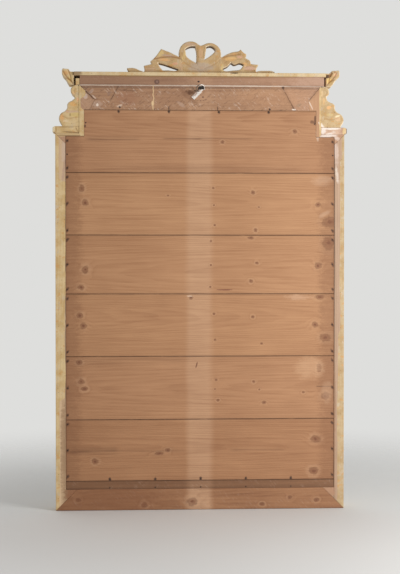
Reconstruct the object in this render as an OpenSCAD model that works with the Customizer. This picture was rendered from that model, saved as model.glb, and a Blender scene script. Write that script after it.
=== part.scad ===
// Giltwood wall mirror with notched top corners, a cornice and a carved bow crest.
// The back faces +Y and the glass faces -Y. Left and right are as seen from behind.
// All sizes in millimetres. The origin is on the underside of the bottom rail.

/* [Outline] */
// Width across the two stiles
frame_w = 782; // [700:1:900]
// Height of the top rail's upper edge
frame_h = 1147; // [1000:1:1300]
// Width of the step at each shoulder, from the stile in to the neck
step_w = 64; // [58:1:70]
// Height of the step at each shoulder, from the stile's end up to the top rail
step_h = 130; // [122:1:145]
// Gap left between pieces that are glued or laid together
fit = 0.2; // [0.1:0.05:0.3]

/* [Pine frame] */
// Width of the stiles, the bottom rail and the shoulders
member_w = 57; // [50:1:59]
// Width of the necks
neck_w = 32; // [28:1:38]
// Thickness of the pine frame, front to back
pine_t = 30; // [28:1:40]
// How far the glass face lies in front of the origin
glass_plane = 8; // [4:1:12]
// Bare wood left beside the board ends on the stiles
stile_bare = 27; // [22:1:32]
// Bare wood left beside the board ends on the necks
neck_bare = 13; // [9:1:18]
// Bare wood left above the boards on the shoulders
shoulder_bare = 7; // [5:1:14]
// Height of the top rail's bare back
top_bare = 66; // [62:1:80]
// Width of the bottom rail's tongue, which carries the strip and the lowest board
bottom_tongue = 34; // [30:1:40]
// Width of the top rail's tongue, which carries the top board
top_tongue = 20; // [14:1:26]
// Inward reach of the mitred corner at the end of the top rail
mitre_reach = 42; // [39:1:46]
// How much less the mitre reaches in at the right end
mitre_less = 8; // [0:1:9]
// Drop from the top of the rail's end mitre to its inner corner
mitre_drop = 40; // [36:1:44]
// Drop of the short return cut under the end mitre
return_drop = 20; // [14:1:24]
// Length of a rail block along its upper edge
block_top = 107; // [90:1:140]
// Length of a rail block along its lower edge
block_low = 71; // [68:1:82]

/* [Backboards] */
// Thickness of the backboards
board_t = 12; // [9:0.5:14]
// How far the boards lie below the back of the frame
board_set = 0.6; // [0.3:0.1:1.5]
// Open seam between neighbouring boards
board_seam = 0.8; // [0.3:0.1:2]
// Height of the narrow strip under the lowest board
strip_h = 22; // [16:1:30]
// How much taller than an even share the second board from the top is
board_2_more = 1; // [-10:1:10]
// How much taller than an even share the third board is
board_3_more = -8; // [-10:1:10]
// How much taller than an even share the fourth board is
board_4_more = 2; // [-10:1:10]
// How much taller than an even share the fifth board is
board_5_more = 4; // [-10:1:10]
// How much taller than an even share the lowest board is
board_6_more = -1; // [-10:1:10]

/* [Nails] */
// Radius of a nail's shank
nail_r = 0.9; // [0.7:0.1:1.2]
// Radius of a nail's head
nail_head_r = 1.9; // [1.4:0.1:2.4]
// Thickness of a nail's head
nail_head_t = 0.5; // [0.3:0.1:0.8]
// How far a nail goes into the frame under the board
nail_bite = 10; // [7:1:11]
// Distance of the nails from the end of a board
nail_in = 4.5; // [3.5:0.5:9]
// Distance of the outer nails from the board's long edges
nail_edge = 12; // [8:1:20]
// Distance of the nail rows from the edges of the strip, the lowest board and the top board
low_nail_in = 4; // [3:0.5:7]
// Pitch of the nails along the top of the top board
top_nail_pitch = 135; // [100:1:150]
// Pitch of the nails along the bottom of the lowest board
low_nail_pitch = 123; // [90:1:140]
// How far the row of nails along the top lies to the left of the middle
top_nail_shift = 18; // [-30:1:30]

/* [Glass] */
// Thickness of the mirror glass
glass_t = 4; // [3:0.5:5]
// Gap between the glass and the frame round it
glass_gap = 2; // [1:0.5:3]
// Length of one glass block
block_len = 60; // [40:5:80]
// Width of one glass block
block_w = 14; // [10:1:18]
// Height of one glass block behind the glass
block_t = 10; // [6:1:12]

/* [Gilt moulding] */
// How far the gilt moulding reaches past the frame, over the glass
mould_over = 8; // [6:0.5:12]
// Height of the moulding's outer roll in front of the glass face
mould_t = 24; // [20:1:32]
// Radius of the outer roll
roll_r = 9; // [7:0.5:10]
// Depth of wood under the cove
cove_floor = 8; // [6:0.5:9]
// Width of the groove for the pearl strip
pearl_groove = 9; // [8:0.5:10]
// Depth of wood under the pearl strip
pearl_floor = 6; // [4:0.5:6]

/* [Cornice] */
// Height of the cornice board
cornice_board_h = 26; // [22:1:32]
// How far the cornice board lies below the back of the top rail
cornice_set = 3; // [2:0.5:6]
// Thickness of the cornice's top plate
cornice_top = 10; // [8:1:14]
// Overhang of the cornice beyond the outer faces of the necks
cornice_over = 14; // [12:0.5:18]
// Distance of the cornice's frieze behind the front of the roll
frieze_set = 8; // [4:0.5:10]
// Thickness of the moulding over the frieze at the foot of the cornice
cornice_foot = 10; // [7:0.5:12]
// Projection of the cornice in front of the glass face
cornice_out = 46; // [40:1:56]
// How far the cornice board stops short of the left neck's outer face
board_short = 2; // [0:0.5:6]
// How far the cornice board runs past the right neck's outer face
board_past = 9; // [4:0.5:11]
// Height of the small block at the left end of the cornice board
end_block_h = 18; // [12:1:21]
// Width of the small block at the left end of the cornice board
end_block_w = 11; // [8:1:11]
// Outward reach of the left ear beyond the cornice
ear_out = 32; // [28:1:40]
// How much further the right ear reaches
ear_more = 6; // [0:1:8]
// Height of an ear
ear_h = 45; // [41:1:52]
// Depth of an ear, front to back
ear_t = 46; // [36:1:50]
// How far an ear lies below the back of the cornice
ear_set = 5; // [2:0.5:10]

/* [Shoulder ornaments] */
// Thickness of the shoulder ledge
ledge_h = 19; // [15:1:21]
// Overhang of the ledge beyond the stile
ledge_out = 7; // [4:1:10]
// Distance of the ledge below the back of the frame
ledge_set = 1; // [0.5:0.5:5]
// Depth of the scroll, front to back
scroll_t = 45; // [34:1:46]
// Distance of the scroll below the back of the frame
scroll_set = 1; // [0.5:0.5:8]
// Radius of the scroll's upper volute
volute_r = 15; // [13:0.5:16]
// Radius of the scroll's lower lobe
lobe_r = 20; // [17:0.5:21]
// Radius of the scroll's middle lobe
mid_r = 12; // [9:0.5:14]
// Outward reach of the scroll's lower lobe from the neck
lobe_reach = 54; // [48:0.5:58]
// How much further the lobes of the right scroll reach
scroll_more = 8; // [0:1:10]

/* [Crest] */
// Width of the crest from leaf tip to leaf tip
crest_w = 402; // [360:1:440]
// Height of the bow above the cornice
crest_h = 86; // [70:1:100]
// Thickness of the bow
bow_t = 26; // [20:1:30]
// Thickness of the ribbons
ribbon_t = 20; // [14:1:24]
// Thickness of the leaves
leaf_t = 14; // [10:1:18]
// Distance of the crest's back face in front of the frame's back
crest_set = 18; // [14:1:24]
// Radius of the wooden pegs under the crest
peg_r = 4; // [3:0.5:5]
// Length of the wooden pegs under the crest
peg_len = 36; // [28:1:44]

/* [Hanger] */
// Length of the hanger strap
strap_len = 30; // [27:1:36]
// Width of the hanger strap
strap_w = 11; // [8:0.5:12]
// Thickness of the hanger strap
strap_t = 1.2; // [1:0.1:1.5]
// Radius of the hanger ring's wire
wire_r = 1.25; // [1:0.05:1.3]
// Wall of the strap's rolled eye
eye_wall = 1.3; // [1.1:0.1:1.5]
// Angle of the strap below the level, towards the left
strap_tilt = 45; // [42:1:60]
// Angle of the ring's pin below the level, towards the left
pin_tilt = 14; // [8:1:20]
// Distance of the upper screw from the pin
screw_near = 9.5; // [9:0.25:12]
// Distance of the lower screw from the pin
screw_far = 24; // [21:0.5:26]
// Radius of a screw's shank
screw_r = 1.5; // [1.2:0.1:1.8]
// Radius of a screw's head
screw_head_r = 2.8; // [2.2:0.1:3]
// Thickness of a screw's head
screw_head_t = 0.8; // [0.5:0.1:1]
// Length of a screw
screw_len = 16; // [12:1:20]
// Running clearance between the ring and its eye
eye_play = 0.08; // [0.05:0.01:0.1]
// Outer width of the hanger ring
ring_w = 25; // [22:0.5:28]
// Length of the straight sides of the hanger ring
ring_leg = 9; // [7:0.5:12]
// Angle that the ring stands out from the back
ring_out = 50; // [30:1:80]
// Distance of the ring's hinge pin below the top of the rail
pin_drop = 13; // [9:1:16]
// Distance of the ring's hinge pin to the right of the centre
pin_right = 0; // [0:0.5:10]

/* [Hidden] */
$fn = 48;

// How far a cutter passes through the piece it cuts
over = 1;

// Colours as seen from behind and in front
pine = [0.70, 0.50, 0.36];
old_pine = [0.62, 0.47, 0.38];
ochre = [0.83, 0.71, 0.48];
gilt = [0.80, 0.62, 0.28];
zinc = [0.80, 0.78, 0.74];
iron = [0.25, 0.20, 0.18];

shoulder_z = frame_h - step_h;

// Levels along Y
back_y = pine_t - glass_plane;
front_y = -glass_plane;
board_y1 = back_y - board_set;
board_y0 = board_y1 - board_t;
ledge_y = board_y0 - fit;
tongue_y0 = front_y + glass_t + fit;

// Half widths and heights that follow from the outline
half_w = frame_w / 2;
half_neck = half_w - step_w;
stile_in = half_w - member_w;
neck_in = half_neck - neck_w;
shoulder_in = shoulder_z - member_w;
stile_edge = half_w - stile_bare;
neck_edge = half_neck - neck_bare;
shoulder_edge = shoulder_z - shoulder_bare;
top_edge = frame_h - top_bare;

// Sight opening and glass
mould_w = member_w + mould_over;
glass_cover = mould_over - glass_gap;
sight_x = half_w - mould_w;
sight_neck = half_neck - mould_w;
sight_bottom = mould_w;
sight_shoulder = shoulder_z - mould_w;
sight_top = frame_h - mould_w;
glass_x = sight_x + glass_cover;
glass_neck = neck_in - glass_gap / 2;
glass_bottom = sight_bottom - glass_cover;
glass_shoulder = sight_shoulder + glass_cover;
glass_top = sight_top + glass_cover;

// Points on an arc about c, from angle a to angle b in n steps
function on_circle(c, r, a) = c + r * [cos(a), sin(a)];
function arc(c, r, a, b, n) = [for (i = [0 : n]) on_circle(c, r, a + (b - a) * i / n)];

// Sum of the first n values of a list
function sum_to(v, n) = n == 0 ? 0 : v[n - 1] + sum_to(v, n - 1);

// A flat piece: an outline in X and Z, from y0 to y1
module slab(points, y0, y1) {
  translate([0, y1, 0])
    rotate([90, 0, 0])
      linear_extrude(y1 - y0)
        polygon(points);
}

// A section in Y and Z carried along X
module bar(points, x0, x1) {
  translate([x0, 0, 0])
    rotate([90, 0, 90])
      linear_extrude(x1 - x0)
        polygon(points);
}

module on_side(left) {
  if (left) children();
  else mirror([1, 0, 0]) children();
}

// Pine frame

module stile() {
  color(old_pine) {
    slab([[stile_edge, stile_bare], [half_w, 0], [half_w, shoulder_z],
      [stile_edge, shoulder_z - stile_bare]], front_y, back_y);
    slab([[stile_in, member_w], [stile_edge, stile_bare], [stile_edge, shoulder_z - stile_bare],
      [stile_in, shoulder_in]], front_y, ledge_y);
    slab([[stile_in, member_w], [stile_edge, stile_bare], [stile_edge, member_w - fit]],
      ledge_y, back_y);
  }
}

module bottom_rail() {
  reach = half_w - fit;
  color(old_pine) {
    slab([[-reach, 0], [reach, 0], [reach - member_w, member_w], [-reach + member_w, member_w]],
      front_y, back_y);
    slab([[-stile_in + fit, member_w], [stile_in - fit, member_w],
      [stile_in - fit, member_w + bottom_tongue], [-stile_in + fit, member_w + bottom_tongue]],
      tongue_y0, ledge_y);
  }
}

// A shoulder runs from the stile's mitre to the neck's mitre
module shoulder() {
  drop = shoulder_bare;
  run = neck_w * drop / member_w;
  color(old_pine) {
    slab([[half_w - fit, shoulder_z], [half_neck, shoulder_z], [half_neck - run, shoulder_edge],
      [half_w - drop - fit, shoulder_edge]], front_y, back_y);
    slab([[half_w - drop - fit, shoulder_edge], [half_neck - run, shoulder_edge],
      [neck_in, shoulder_in], [stile_in - fit, shoulder_in]], front_y, ledge_y);
    slab([[half_w - drop - fit, shoulder_edge], [stile_edge, shoulder_edge],
      [stile_edge, shoulder_z - stile_bare + fit]], ledge_y, back_y);
  }
}

// The neck's head is mitred to the rail block, with a short return cut below the mitre
mitre_z = frame_h - mitre_drop;
return_z = mitre_z - return_drop;
module neck(reach) {
  head = [half_neck - reach, mitre_z];
  run = neck_w * shoulder_bare / member_w;
  color(old_pine) {
    slab([[half_neck, shoulder_z + fit], [half_neck, frame_h], head, [neck_in, return_z],
      [neck_in, top_edge], [neck_edge, top_edge], [neck_edge, shoulder_edge + fit],
      [half_neck - run, shoulder_edge + fit]], ledge_y, back_y);
    slab([[half_neck, shoulder_z + fit], [half_neck, frame_h], head, [neck_in, return_z],
      [neck_in, shoulder_in + fit]], front_y, ledge_y);
  }
}

// Section of the top rail: glass rebate in front, board rebate behind
rail_section = [[back_y, frame_h], [back_y, top_edge], [ledge_y, top_edge],
  [ledge_y, top_edge - top_tongue], [tongue_y0, top_edge - top_tongue],
  [tongue_y0, glass_top + fit], [front_y, glass_top + fit], [front_y, frame_h]];

// Distance from the centre to the scarf at height z
scarf_top = half_neck - block_top;
scarf_bottom = half_neck - block_low;
function scarf_x(z) = scarf_top + (scarf_bottom - scarf_top) * (frame_h - z) / top_bare;

module top_rail() {
  low = top_edge - top_tongue;
  top = frame_h;
  color(old_pine)
    intersection() {
      bar(rail_section, -scarf_x(low), scarf_x(low));
      slab([[-scarf_x(low), low], [scarf_x(low), low], [scarf_x(top), top], [-scarf_x(top), top]],
        front_y, back_y);
    }
}

module rail_block(reach) {
  low = top_edge - top_tongue;
  top = frame_h;
  color(old_pine)
    intersection() {
      bar(rail_section, scarf_top, half_neck);
      slab([[scarf_x(low) + fit, low], [neck_in - fit, low], [neck_in - fit, return_z],
        [half_neck - reach - fit, mitre_z], [half_neck - fit, top], [scarf_x(top) + fit, top]],
        front_y, back_y);
    }
}

// Backboards

board_bottom = member_w + fit + strip_h + board_seam;
board_mores = [board_6_more, board_5_more, board_4_more, board_3_more, board_2_more];
board_count = len(board_mores) + 1;
board_share = (top_edge - board_bottom) / board_count;
function board_z0(i) = board_bottom + i * board_share + sum_to(board_mores, i);
function board_z1(i) = (i < board_count - 1 ? board_z0(i + 1) : top_edge) - board_seam;
board_x = stile_edge - board_seam / 2;
neck_board_x = neck_edge - board_seam / 2;

module backboard(i) {
  color(pine)
    if (i < board_count - 1)
      slab([[-board_x, board_z0(i)], [board_x, board_z0(i)], [board_x, board_z1(i)],
        [-board_x, board_z1(i)]], board_y0, board_y1);
    else
      top_backboard(board_z0(i), board_z1(i), shoulder_edge - board_seam);
}

module top_backboard(z0, z1, notch) {
  slab([[-board_x, z0], [board_x, z0], [board_x, notch], [neck_board_x, notch],
    [neck_board_x, z1], [-neck_board_x, z1], [-neck_board_x, notch], [-board_x, notch]],
    board_y0, board_y1);
}

module back_strip() {
  color(old_pine)
    slab([[-board_x, member_w + fit], [board_x, member_w + fit],
      [board_x, member_w + fit + strip_h], [-board_x, member_w + fit + strip_h]],
      board_y0, board_y1);
}

// Nails

nail_len = nail_head_t + board_t + nail_bite;

module nail(x, z) {
  translate([x, board_y1 + nail_head_t, z])
    rotate([90, 0, 0]) {
      cylinder(r = nail_head_r, h = nail_head_t);
      cylinder(r = nail_r, h = nail_len);
    }
}

// Three nails at each end of every board, one in each neck, and rows along the top and bottom edges
module board_nails() {
  color(iron) {
    for (side = [-1, 1]) {
      for (i = [0 : board_count - 1])
        for (part = [0 : 2])
          board_nail(side, i, part);
      nail(side * (neck_board_x - nail_in), (shoulder_edge + top_edge) / 2);
    }
    for (k = [-1.5 : 1 : 1.5])
      nail(top_nail_shift + k * top_nail_pitch, board_z1(board_count - 1) - low_nail_in);
    for (k = [-2 : 1 : 2])
      nail(k * low_nail_pitch, board_z0(0) + low_nail_in);
  }
}

module board_nail(side, i, part) {
  top = i == board_count - 1 ? shoulder_edge - board_seam : board_z1(i);
  low = board_z0(i) + nail_edge;
  high = top - nail_edge;
  nail(side * (board_x - nail_in), low + (high - low) * part / 2);
}

module strip_nails() {
  color(iron)
    for (k = [-2 : 2])
      nail(k * low_nail_pitch, member_w + fit + low_nail_in);
}

// Glass

module mirror_glass() {
  color([0.75, 0.78, 0.80])
    slab([[-glass_x, glass_bottom], [glass_x, glass_bottom], [glass_x, glass_shoulder],
      [glass_neck, glass_shoulder], [glass_neck, glass_top], [-glass_neck, glass_top],
      [-glass_neck, glass_shoulder], [-glass_x, glass_shoulder]], front_y, front_y + glass_t);
}

// Rubbed blocks glued to the stiles behind the glass
block_count = 4;
module glass_blocks() {
  span = sight_shoulder - sight_bottom;
  stile_block_x = stile_in - fit - block_w / 2;
  neck_block_x = neck_in - fit - block_w / 2;
  neck_block_z = (sight_shoulder + top_edge - top_tongue) / 2 + block_w;
  color(pine)
    for (side = [-1, 1]) {
      for (k = [0 : block_count - 1])
        glass_block(side * stile_block_x, sight_bottom + span * (k + 0.5) / block_count);
      glass_block(side * neck_block_x, neck_block_z);
    }
}

module glass_block(x, z) {
  y0 = front_y + glass_t + fit;
  translate([x - block_w / 2, y0, z - block_len / 2])
    cube([block_w, block_t, block_len]);
}

// Gilt mouldings in front of the pine frame

roll_side = mould_t - roll_r;
roll_set = 1;
roll_end = 2 * roll_r + 1.5 * roll_set;
fillet_w = 3;
fillet_step = 2;
sight_edge = fillet_w + 4.5;
cove_w = mould_w - roll_end - fillet_w - fillet_step - pearl_groove - sight_edge;
cove_0 = roll_end + fillet_w;
cove_1 = cove_0 + cove_w;
groove_0 = cove_1 + fillet_step;
groove_1 = groove_0 + pearl_groove;
sight_lip = 5;
sight_rise = 1.5;
cove_steps = 8;

// Section: w runs inward from the outer edge, d runs forward from the glass face
mould_section = concat(
  [[0, 0], [0, roll_side + fillet_step]],
  arc([roll_r + roll_set, roll_side], roll_r, 167, 10, 10),
  [[roll_end, roll_side + fillet_step], [cove_0, roll_side + fillet_step]],
  [for (i = [0 : cove_steps]) cove_point(i / cove_steps)],
  [[cove_1, cove_floor + fillet_step], [groove_0, cove_floor + fillet_step], [groove_0, pearl_floor]],
  [[groove_1, pearl_floor], [groove_1, cove_floor + sight_rise],
    [groove_1 + fillet_w, cove_floor + sight_rise]],
  [[mould_w, sight_lip], [mould_w, 0]]
);

// The cove falls steeply at first and then flattens
function cove_point(t) = [cove_0 + cove_w * t, cove_floor + (roll_side - cove_floor) * pow(1 - t, 2)];

// Half-round strip that stands in the groove
pearl_r = pearl_groove / 2 - fit;
pearl_mid = (groove_0 + groove_1) / 2;
pearl_stand = 2;
pearl_section = concat(
  [[pearl_mid + pearl_r, pearl_floor + fit]],
  arc([pearl_mid, pearl_floor + pearl_stand], pearl_r, 0, 180, 10),
  [[pearl_mid - pearl_r, pearl_floor + fit]]
);

// A section carried along X, w measured from height z in direction up
module run_x(section, x0, x1, z, up) {
  multmatrix([[0, 0, 1, x0], [0, -1, 0, front_y], [up, 0, 0, z], [0, 0, 0, 1]])
    linear_extrude(x1 - x0)
      polygon(section);
}

// A section carried along Z, w measured inward from x
module run_z(section, z0, z1, x) {
  multmatrix([[-1, 0, 0, x], [0, -1, 0, front_y], [0, 0, 1, z0], [0, 0, 0, 1]])
    linear_extrude(z1 - z0)
      polygon(section);
}

// The front mouldings' plan outlines are cut from this depth
mould_y0 = front_y - mould_t - over;

module strip_bottom(section) {
  reach = half_w - fit;
  color(gilt)
    intersection() {
      run_x(section, -half_w, half_w, 0, 1);
      slab([[-reach, 0], [reach, 0], [reach - mould_w, mould_w], [-reach + mould_w, mould_w]],
        mould_y0, front_y);
    }
}

module strip_side(section) {
  color(gilt)
    intersection() {
      run_z(section, 0, shoulder_z, half_w);
      slab([[half_w, 0], [half_w, shoulder_z], [sight_x, sight_shoulder], [sight_x, mould_w]],
        mould_y0, front_y);
    }
}

module strip_shoulder(section) {
  reach = half_w - fit;
  color(gilt)
    intersection() {
      run_x(section, sight_neck, half_w, shoulder_z, -1);
      slab([[reach, shoulder_z], [half_neck, shoulder_z], [sight_neck, sight_shoulder],
        [reach - mould_w, sight_shoulder]], mould_y0, front_y);
    }
}

module strip_neck(section) {
  color(gilt)
    intersection() {
      run_z(section, sight_shoulder, frame_h, half_neck);
      slab([[half_neck, shoulder_z + fit], [half_neck, frame_h - fit], [sight_neck, sight_top - fit],
        [sight_neck, sight_shoulder + fit]], mould_y0, front_y);
    }
}

module strip_top(section) {
  color(gilt)
    intersection() {
      run_x(section, -half_neck, half_neck, frame_h, -1);
      slab([[-half_neck, frame_h], [half_neck, frame_h], [sight_neck, sight_top],
        [-sight_neck, sight_top]], mould_y0, front_y);
    }
}

module corner_pearls() {
  strip_shoulder(pearl_section);
  strip_neck(pearl_section);
}

// Cornice

cornice_z = frame_h + fit;
cornice_under = cornice_z + cornice_board_h;
cornice_z1 = cornice_under + cornice_top;
cornice_back = back_y - cornice_set;
cornice_front = front_y - cornice_out;
cornice_half = half_neck + cornice_over;
board_left = half_neck - board_short;
board_right = half_neck + board_past;
frieze_y = front_y - mould_t + frieze_set;
foot_y = frieze_y - cornice_foot;
foot_h = 5;
drip = 4;

module cornice_board() {
  color(old_pine)
    slab([[-board_right, cornice_z], [board_left, cornice_z], [board_left, cornice_under - fit],
      [-board_right, cornice_under - fit]], frieze_y, cornice_back);
}

// Top plate and front of the cornice in one length, hollowed to a cove under the drip
module cornice_moulding() {
  cove = min(cornice_board_h - foot_h - drip + 1, foot_y - cornice_front - drip);
  color(ochre)
    bar(concat(
      [[cornice_back, cornice_under], [cornice_back, cornice_z1]],
      [[cornice_front + drip / 2, cornice_z1], [cornice_front, cornice_z1 - drip / 2]],
      [[cornice_front, cornice_under + drip / 2]],
      [[cornice_front + drip, cornice_under + drip / 2], [cornice_front + drip, cornice_under - 1]],
      arc([cornice_front + drip, cornice_under - 1 - cove], cove, 90, 0, 6),
      [[foot_y, cornice_z + foot_h], [foot_y, cornice_z], [frieze_y - fit, cornice_z]],
      [[frieze_y - fit, cornice_under]]
    ), -cornice_half, cornice_half);
}

module cornice_end_block() {
  color(ochre)
    slab([[board_left + fit, cornice_z], [board_left + fit + end_block_w, cornice_z],
      [board_left + fit + end_block_w, cornice_z + end_block_h],
      [board_left + fit, cornice_z + end_block_h]], frieze_y, cornice_back - ledge_set);
}

// Outline of an ear, as shares of its reach and height
ear_outline = [[0, 0], [0.38, 0.02], [0.53, 0.16], [0.72, 0.41],
  [0.98, 0.63], [1, 0.88], [0.94, 1], [0.44, 0.97]];

// A carved leaf that leans out from the end of the cornice
module ear(reach) {
  x = cornice_half + fit;
  y1 = cornice_back - ear_set;
  color(ochre)
    slab(concat(
      [for (p = ear_outline) [x + p[0] * reach, cornice_z + p[1] * ear_h]],
      [[x + 0.3 * reach, cornice_z1], [x, cornice_z1]]
    ), y1 - ear_t, y1);
}

// Shoulder ledges and scrolls

ledge_z0 = shoulder_z + fit;
ledge_z1 = ledge_z0 + ledge_h;
scroll_x = half_neck + fit;
scroll_z = ledge_z1 + fit;
ledge_step = 3;

module ledge() {
  end = half_w + ledge_out;
  color(ochre) {
    slab([[scroll_x, ledge_z0], [half_w, ledge_z0], [half_w, ledge_z0 + ledge_step],
      [end, ledge_z0 + ledge_step], [end, ledge_z1 - ledge_step], [half_w, ledge_z1],
      [scroll_x, ledge_z1]], front_y - mould_t, back_y - ledge_set);
    slab([[scroll_x, ledge_z0 + ledge_step], [end, ledge_z0 + ledge_step],
      [end, ledge_z1 - ledge_step], [scroll_x, ledge_z1 - ledge_step]],
      front_y - mould_t - ledge_out, front_y - mould_t);
  }
}

// Outline of the scroll: lower lobe, middle lobe and upper volute
volute_c = [scroll_x + volute_r / 2, frame_h - volute_r];
lobe_z = scroll_z + lobe_r;
mid_z = (volute_c[1] + lobe_z) / 2 - mid_r / 4;
module scroll(more) {
  y1 = back_y - scroll_set;
  lobe_c = [scroll_x + lobe_reach - lobe_r + more, lobe_z];
  mid_c = [scroll_x + 0.37 * lobe_reach + 0.8 * more, mid_z];
  waist = [volute_c[0] + volute_r / 4 + 0.7 * more, volute_c[1] - 1.4 * volute_r];
  color(ochre)
    slab(concat(
      [[scroll_x, scroll_z], [lobe_c[0] + lobe_r * 0.6, scroll_z]],
      arc(lobe_c, lobe_r, -45, 72, 10),
      arc(mid_c, mid_r, -15, 75, 7),
      [waist],
      arc(volute_c, volute_r, -60, 110, 12),
      [[scroll_x, volute_c[1] + volute_r * 0.87]]
    ), y1 - scroll_t, y1);
}

// Crest: x runs towards the left as seen from behind, z from the cornice's top

crest_z = cornice_z1 + fit;
crest_y1 = back_y - crest_set;

// The outlines are drawn 402 wide and 86 high, and take their real size here
function crest_point(p) = [p[0] * crest_w / 402, p[1] * crest_h / 86];

module crest_slab(points, t) {
  translate([0, crest_y1, crest_z])
    rotate([90, 0, 0])
      linear_extrude(t)
        polygon([for (p = points) crest_point(p)]);
}

bow_seam_left = [[44, 0], [48, 22], [56.5, 43]];
bow_seam_right = [[-57, 43], [-50, 22], [-55, 0]];
function shifted(points, dx) = [for (p = points) [p[0] + dx, p[1]]];
function reversed(points) = [for (i = [len(points) - 1 : -1 : 0]) points[i]];

module crest_bow() {
  color(ochre)
    difference() {
      crest_slab(concat(
        bow_seam_left,
        arc([26, 54], 32, -10, 125, 14),
        [[0, 75]],
        arc([-26, 51], 31, 60, 188, 14),
        bow_seam_right
      ), bow_t);
      translate([0, over, 0])
        crest_slab([[41, 65], [34, 70], [25, 73], [14, 73],
          [10.5, 57], [11, 27], [37, 46]], bow_t + 2 * over);
      translate([0, over, 0])
        crest_slab([[-16.5, 72], [-28, 74], [-38, 68], [-42, 61],
          [-32, 51], [-11, 36], [-15, 57]], bow_t + 2 * over);
    }
}

module crest_left_ribbon() {
  color(ochre)
    difference() {
      crest_slab(concat(
        shifted(reversed(bow_seam_left), fit),
        [[153, 0], [151, 8], [153, 19], [132, 24], [135, 31], [124, 41], [115, 53], [106, 65]],
        [[96, 61], [85, 57], [70, 50]]
      ), ribbon_t);
      translate([0, over, 0])
        crest_slab([[115, 27], [98, 23], [80, 17], [55, 9],
          [67, 6], [85, 7], [102, 7], [111, 19]], ribbon_t + 2 * over);
    }
}

module crest_right_ribbon() {
  color(ochre)
    difference() {
      crest_slab(concat(
        shifted(bow_seam_right, -fit),
        [[-152, 0], [-152, 9], [-159, 24], [-138, 26], [-137, 32], [-124, 42], [-126, 52]],
        [[-118, 57], [-110, 65], [-105, 61], [-89, 58], [-75, 53], [-64, 47]]
      ), ribbon_t);
      translate([0, over, 0])
        crest_slab([[-59, 12], [-75, 20], [-83, 29], [-91, 24], [-108, 28], [-118, 24], [-110, 12],
          [-89, 8], [-64, 8]], ribbon_t + 2 * over);
    }
}

module crest_left_leaf() {
  color(ochre)
    crest_slab([[153 + fit, 0], [190, 0], [194, 4], [199, 12], [188, 13], [176, 12], [165, 7],
      [153 + fit, 3]], leaf_t);
}

module crest_right_leaf() {
  color(ochre)
    crest_slab([[-152 - fit, 0], [-193, 0], [-203, 5], [-193, 8], [-176, 8], [-161, 7.5],
      [-152 - fit, 5]], leaf_t);
}

// Pegs that stand in the cornice and reach up into the crest
peg_xs = [-130, -30, 20, 130];
peg_rise = 10;
module crest_pegs() {
  color(pine)
    for (x = peg_xs)
      translate([crest_point([x, 0])[0], crest_y1 - ribbon_t / 2, crest_z + peg_rise - peg_len])
        cylinder(r = peg_r, h = peg_len);
}

// Hanger: a strap with a rolled eye, and a ring that turns in it

eye_r = wire_r + eye_play + eye_wall;
strap_y = back_y + fit / 2;
pin = [-pin_right, strap_y + eye_r, frame_h - pin_drop];

// Places children with x along the hinge pin, z up across it and y out of the back
module at_pin() {
  translate(pin)
    rotate([0, pin_tilt, 0])
      children();
}

// Places children with x along the strap, away from the pin, on the back face
module along_strap() {
  translate([pin[0], strap_y, pin[2]])
    rotate([0, strap_tilt, 0])
      children();
}

module hanger_strap() {
  hole_r = screw_r + fit;
  color(zinc)
    difference() {
      union() {
        along_strap()
          translate([0, 0, -strap_w / 2])
            cube([strap_len, strap_t, strap_w]);
        at_pin()
          rotate([0, 90, 0])
            cylinder(r = eye_r, h = strap_w, center = true);
      }
      at_pin()
        rotate([0, 90, 0])
          cylinder(r = wire_r + eye_play, h = ring_w, center = true);
      for (s = [screw_near, screw_far])
        along_strap()
          translate([s, strap_t + over, 0])
            rotate([90, 0, 0])
              cylinder(r = hole_r, h = strap_t + 2 * over);
    }
}

// A half-round bend on two straight sides, closed by the straight pin in the eye
module hanger_ring() {
  bend = ring_w / 2 - wire_r;
  color(zinc)
    at_pin()
      rotate([90 - ring_out, 0, 0])
        ring_loop(bend);
}

// The loop lies in x and y here, with its pin along x
module ring_loop(bend) {
  union() {
    rotate([0, 90, 0])
      cylinder(r = wire_r, h = 2 * bend, center = true);
    for (side = [-1, 1])
      translate([side * bend, 0, 0])
        rotate([-90, 0, 0])
          cylinder(r = wire_r, h = ring_leg);
    for (side = [-1, 1])
      translate([side * bend, 0, 0])
        sphere(r = wire_r);
    translate([0, ring_leg, 0])
      rotate_extrude(angle = 180)
        translate([bend, 0])
          circle(r = wire_r);
  }
}

module hanger_screws() {
  color(zinc)
    for (s = [screw_near, screw_far])
      along_strap()
        translate([s, strap_t + fit, 0])
          rotate([90, 0, 0]) {
            translate([0, 0, -screw_head_t])
              cylinder(r = screw_head_r, h = screw_head_t);
            cylinder(r = screw_r, h = screw_len);
          }
}

bottom_rail();
on_side(true) stile();  // left_stile
on_side(false) stile();  // right_stile
on_side(true) shoulder();  // left_shoulder
on_side(false) shoulder();  // right_shoulder
on_side(true) neck(mitre_reach);  // left_neck
on_side(false) neck(mitre_reach - mitre_less);  // right_neck
top_rail();
on_side(true) rail_block(mitre_reach);  // left_rail_block
on_side(false) rail_block(mitre_reach - mitre_less);  // right_rail_block
backboard(5);  // backboard_1
backboard(4);  // backboard_2
backboard(3);  // backboard_3
backboard(2);  // backboard_4
backboard(1);  // backboard_5
backboard(0);  // backboard_6
back_strip();
board_nails();
strip_nails();
mirror_glass();
glass_blocks();
strip_bottom(mould_section);  // moulding_bottom
on_side(true) strip_side(mould_section);  // moulding_left
on_side(false) strip_side(mould_section);  // moulding_right
strip_top(mould_section);  // moulding_top
on_side(true) strip_shoulder(mould_section);  // moulding_left_shoulder
on_side(false) strip_shoulder(mould_section);  // moulding_right_shoulder
on_side(true) strip_neck(mould_section);  // moulding_left_neck
on_side(false) strip_neck(mould_section);  // moulding_right_neck
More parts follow.
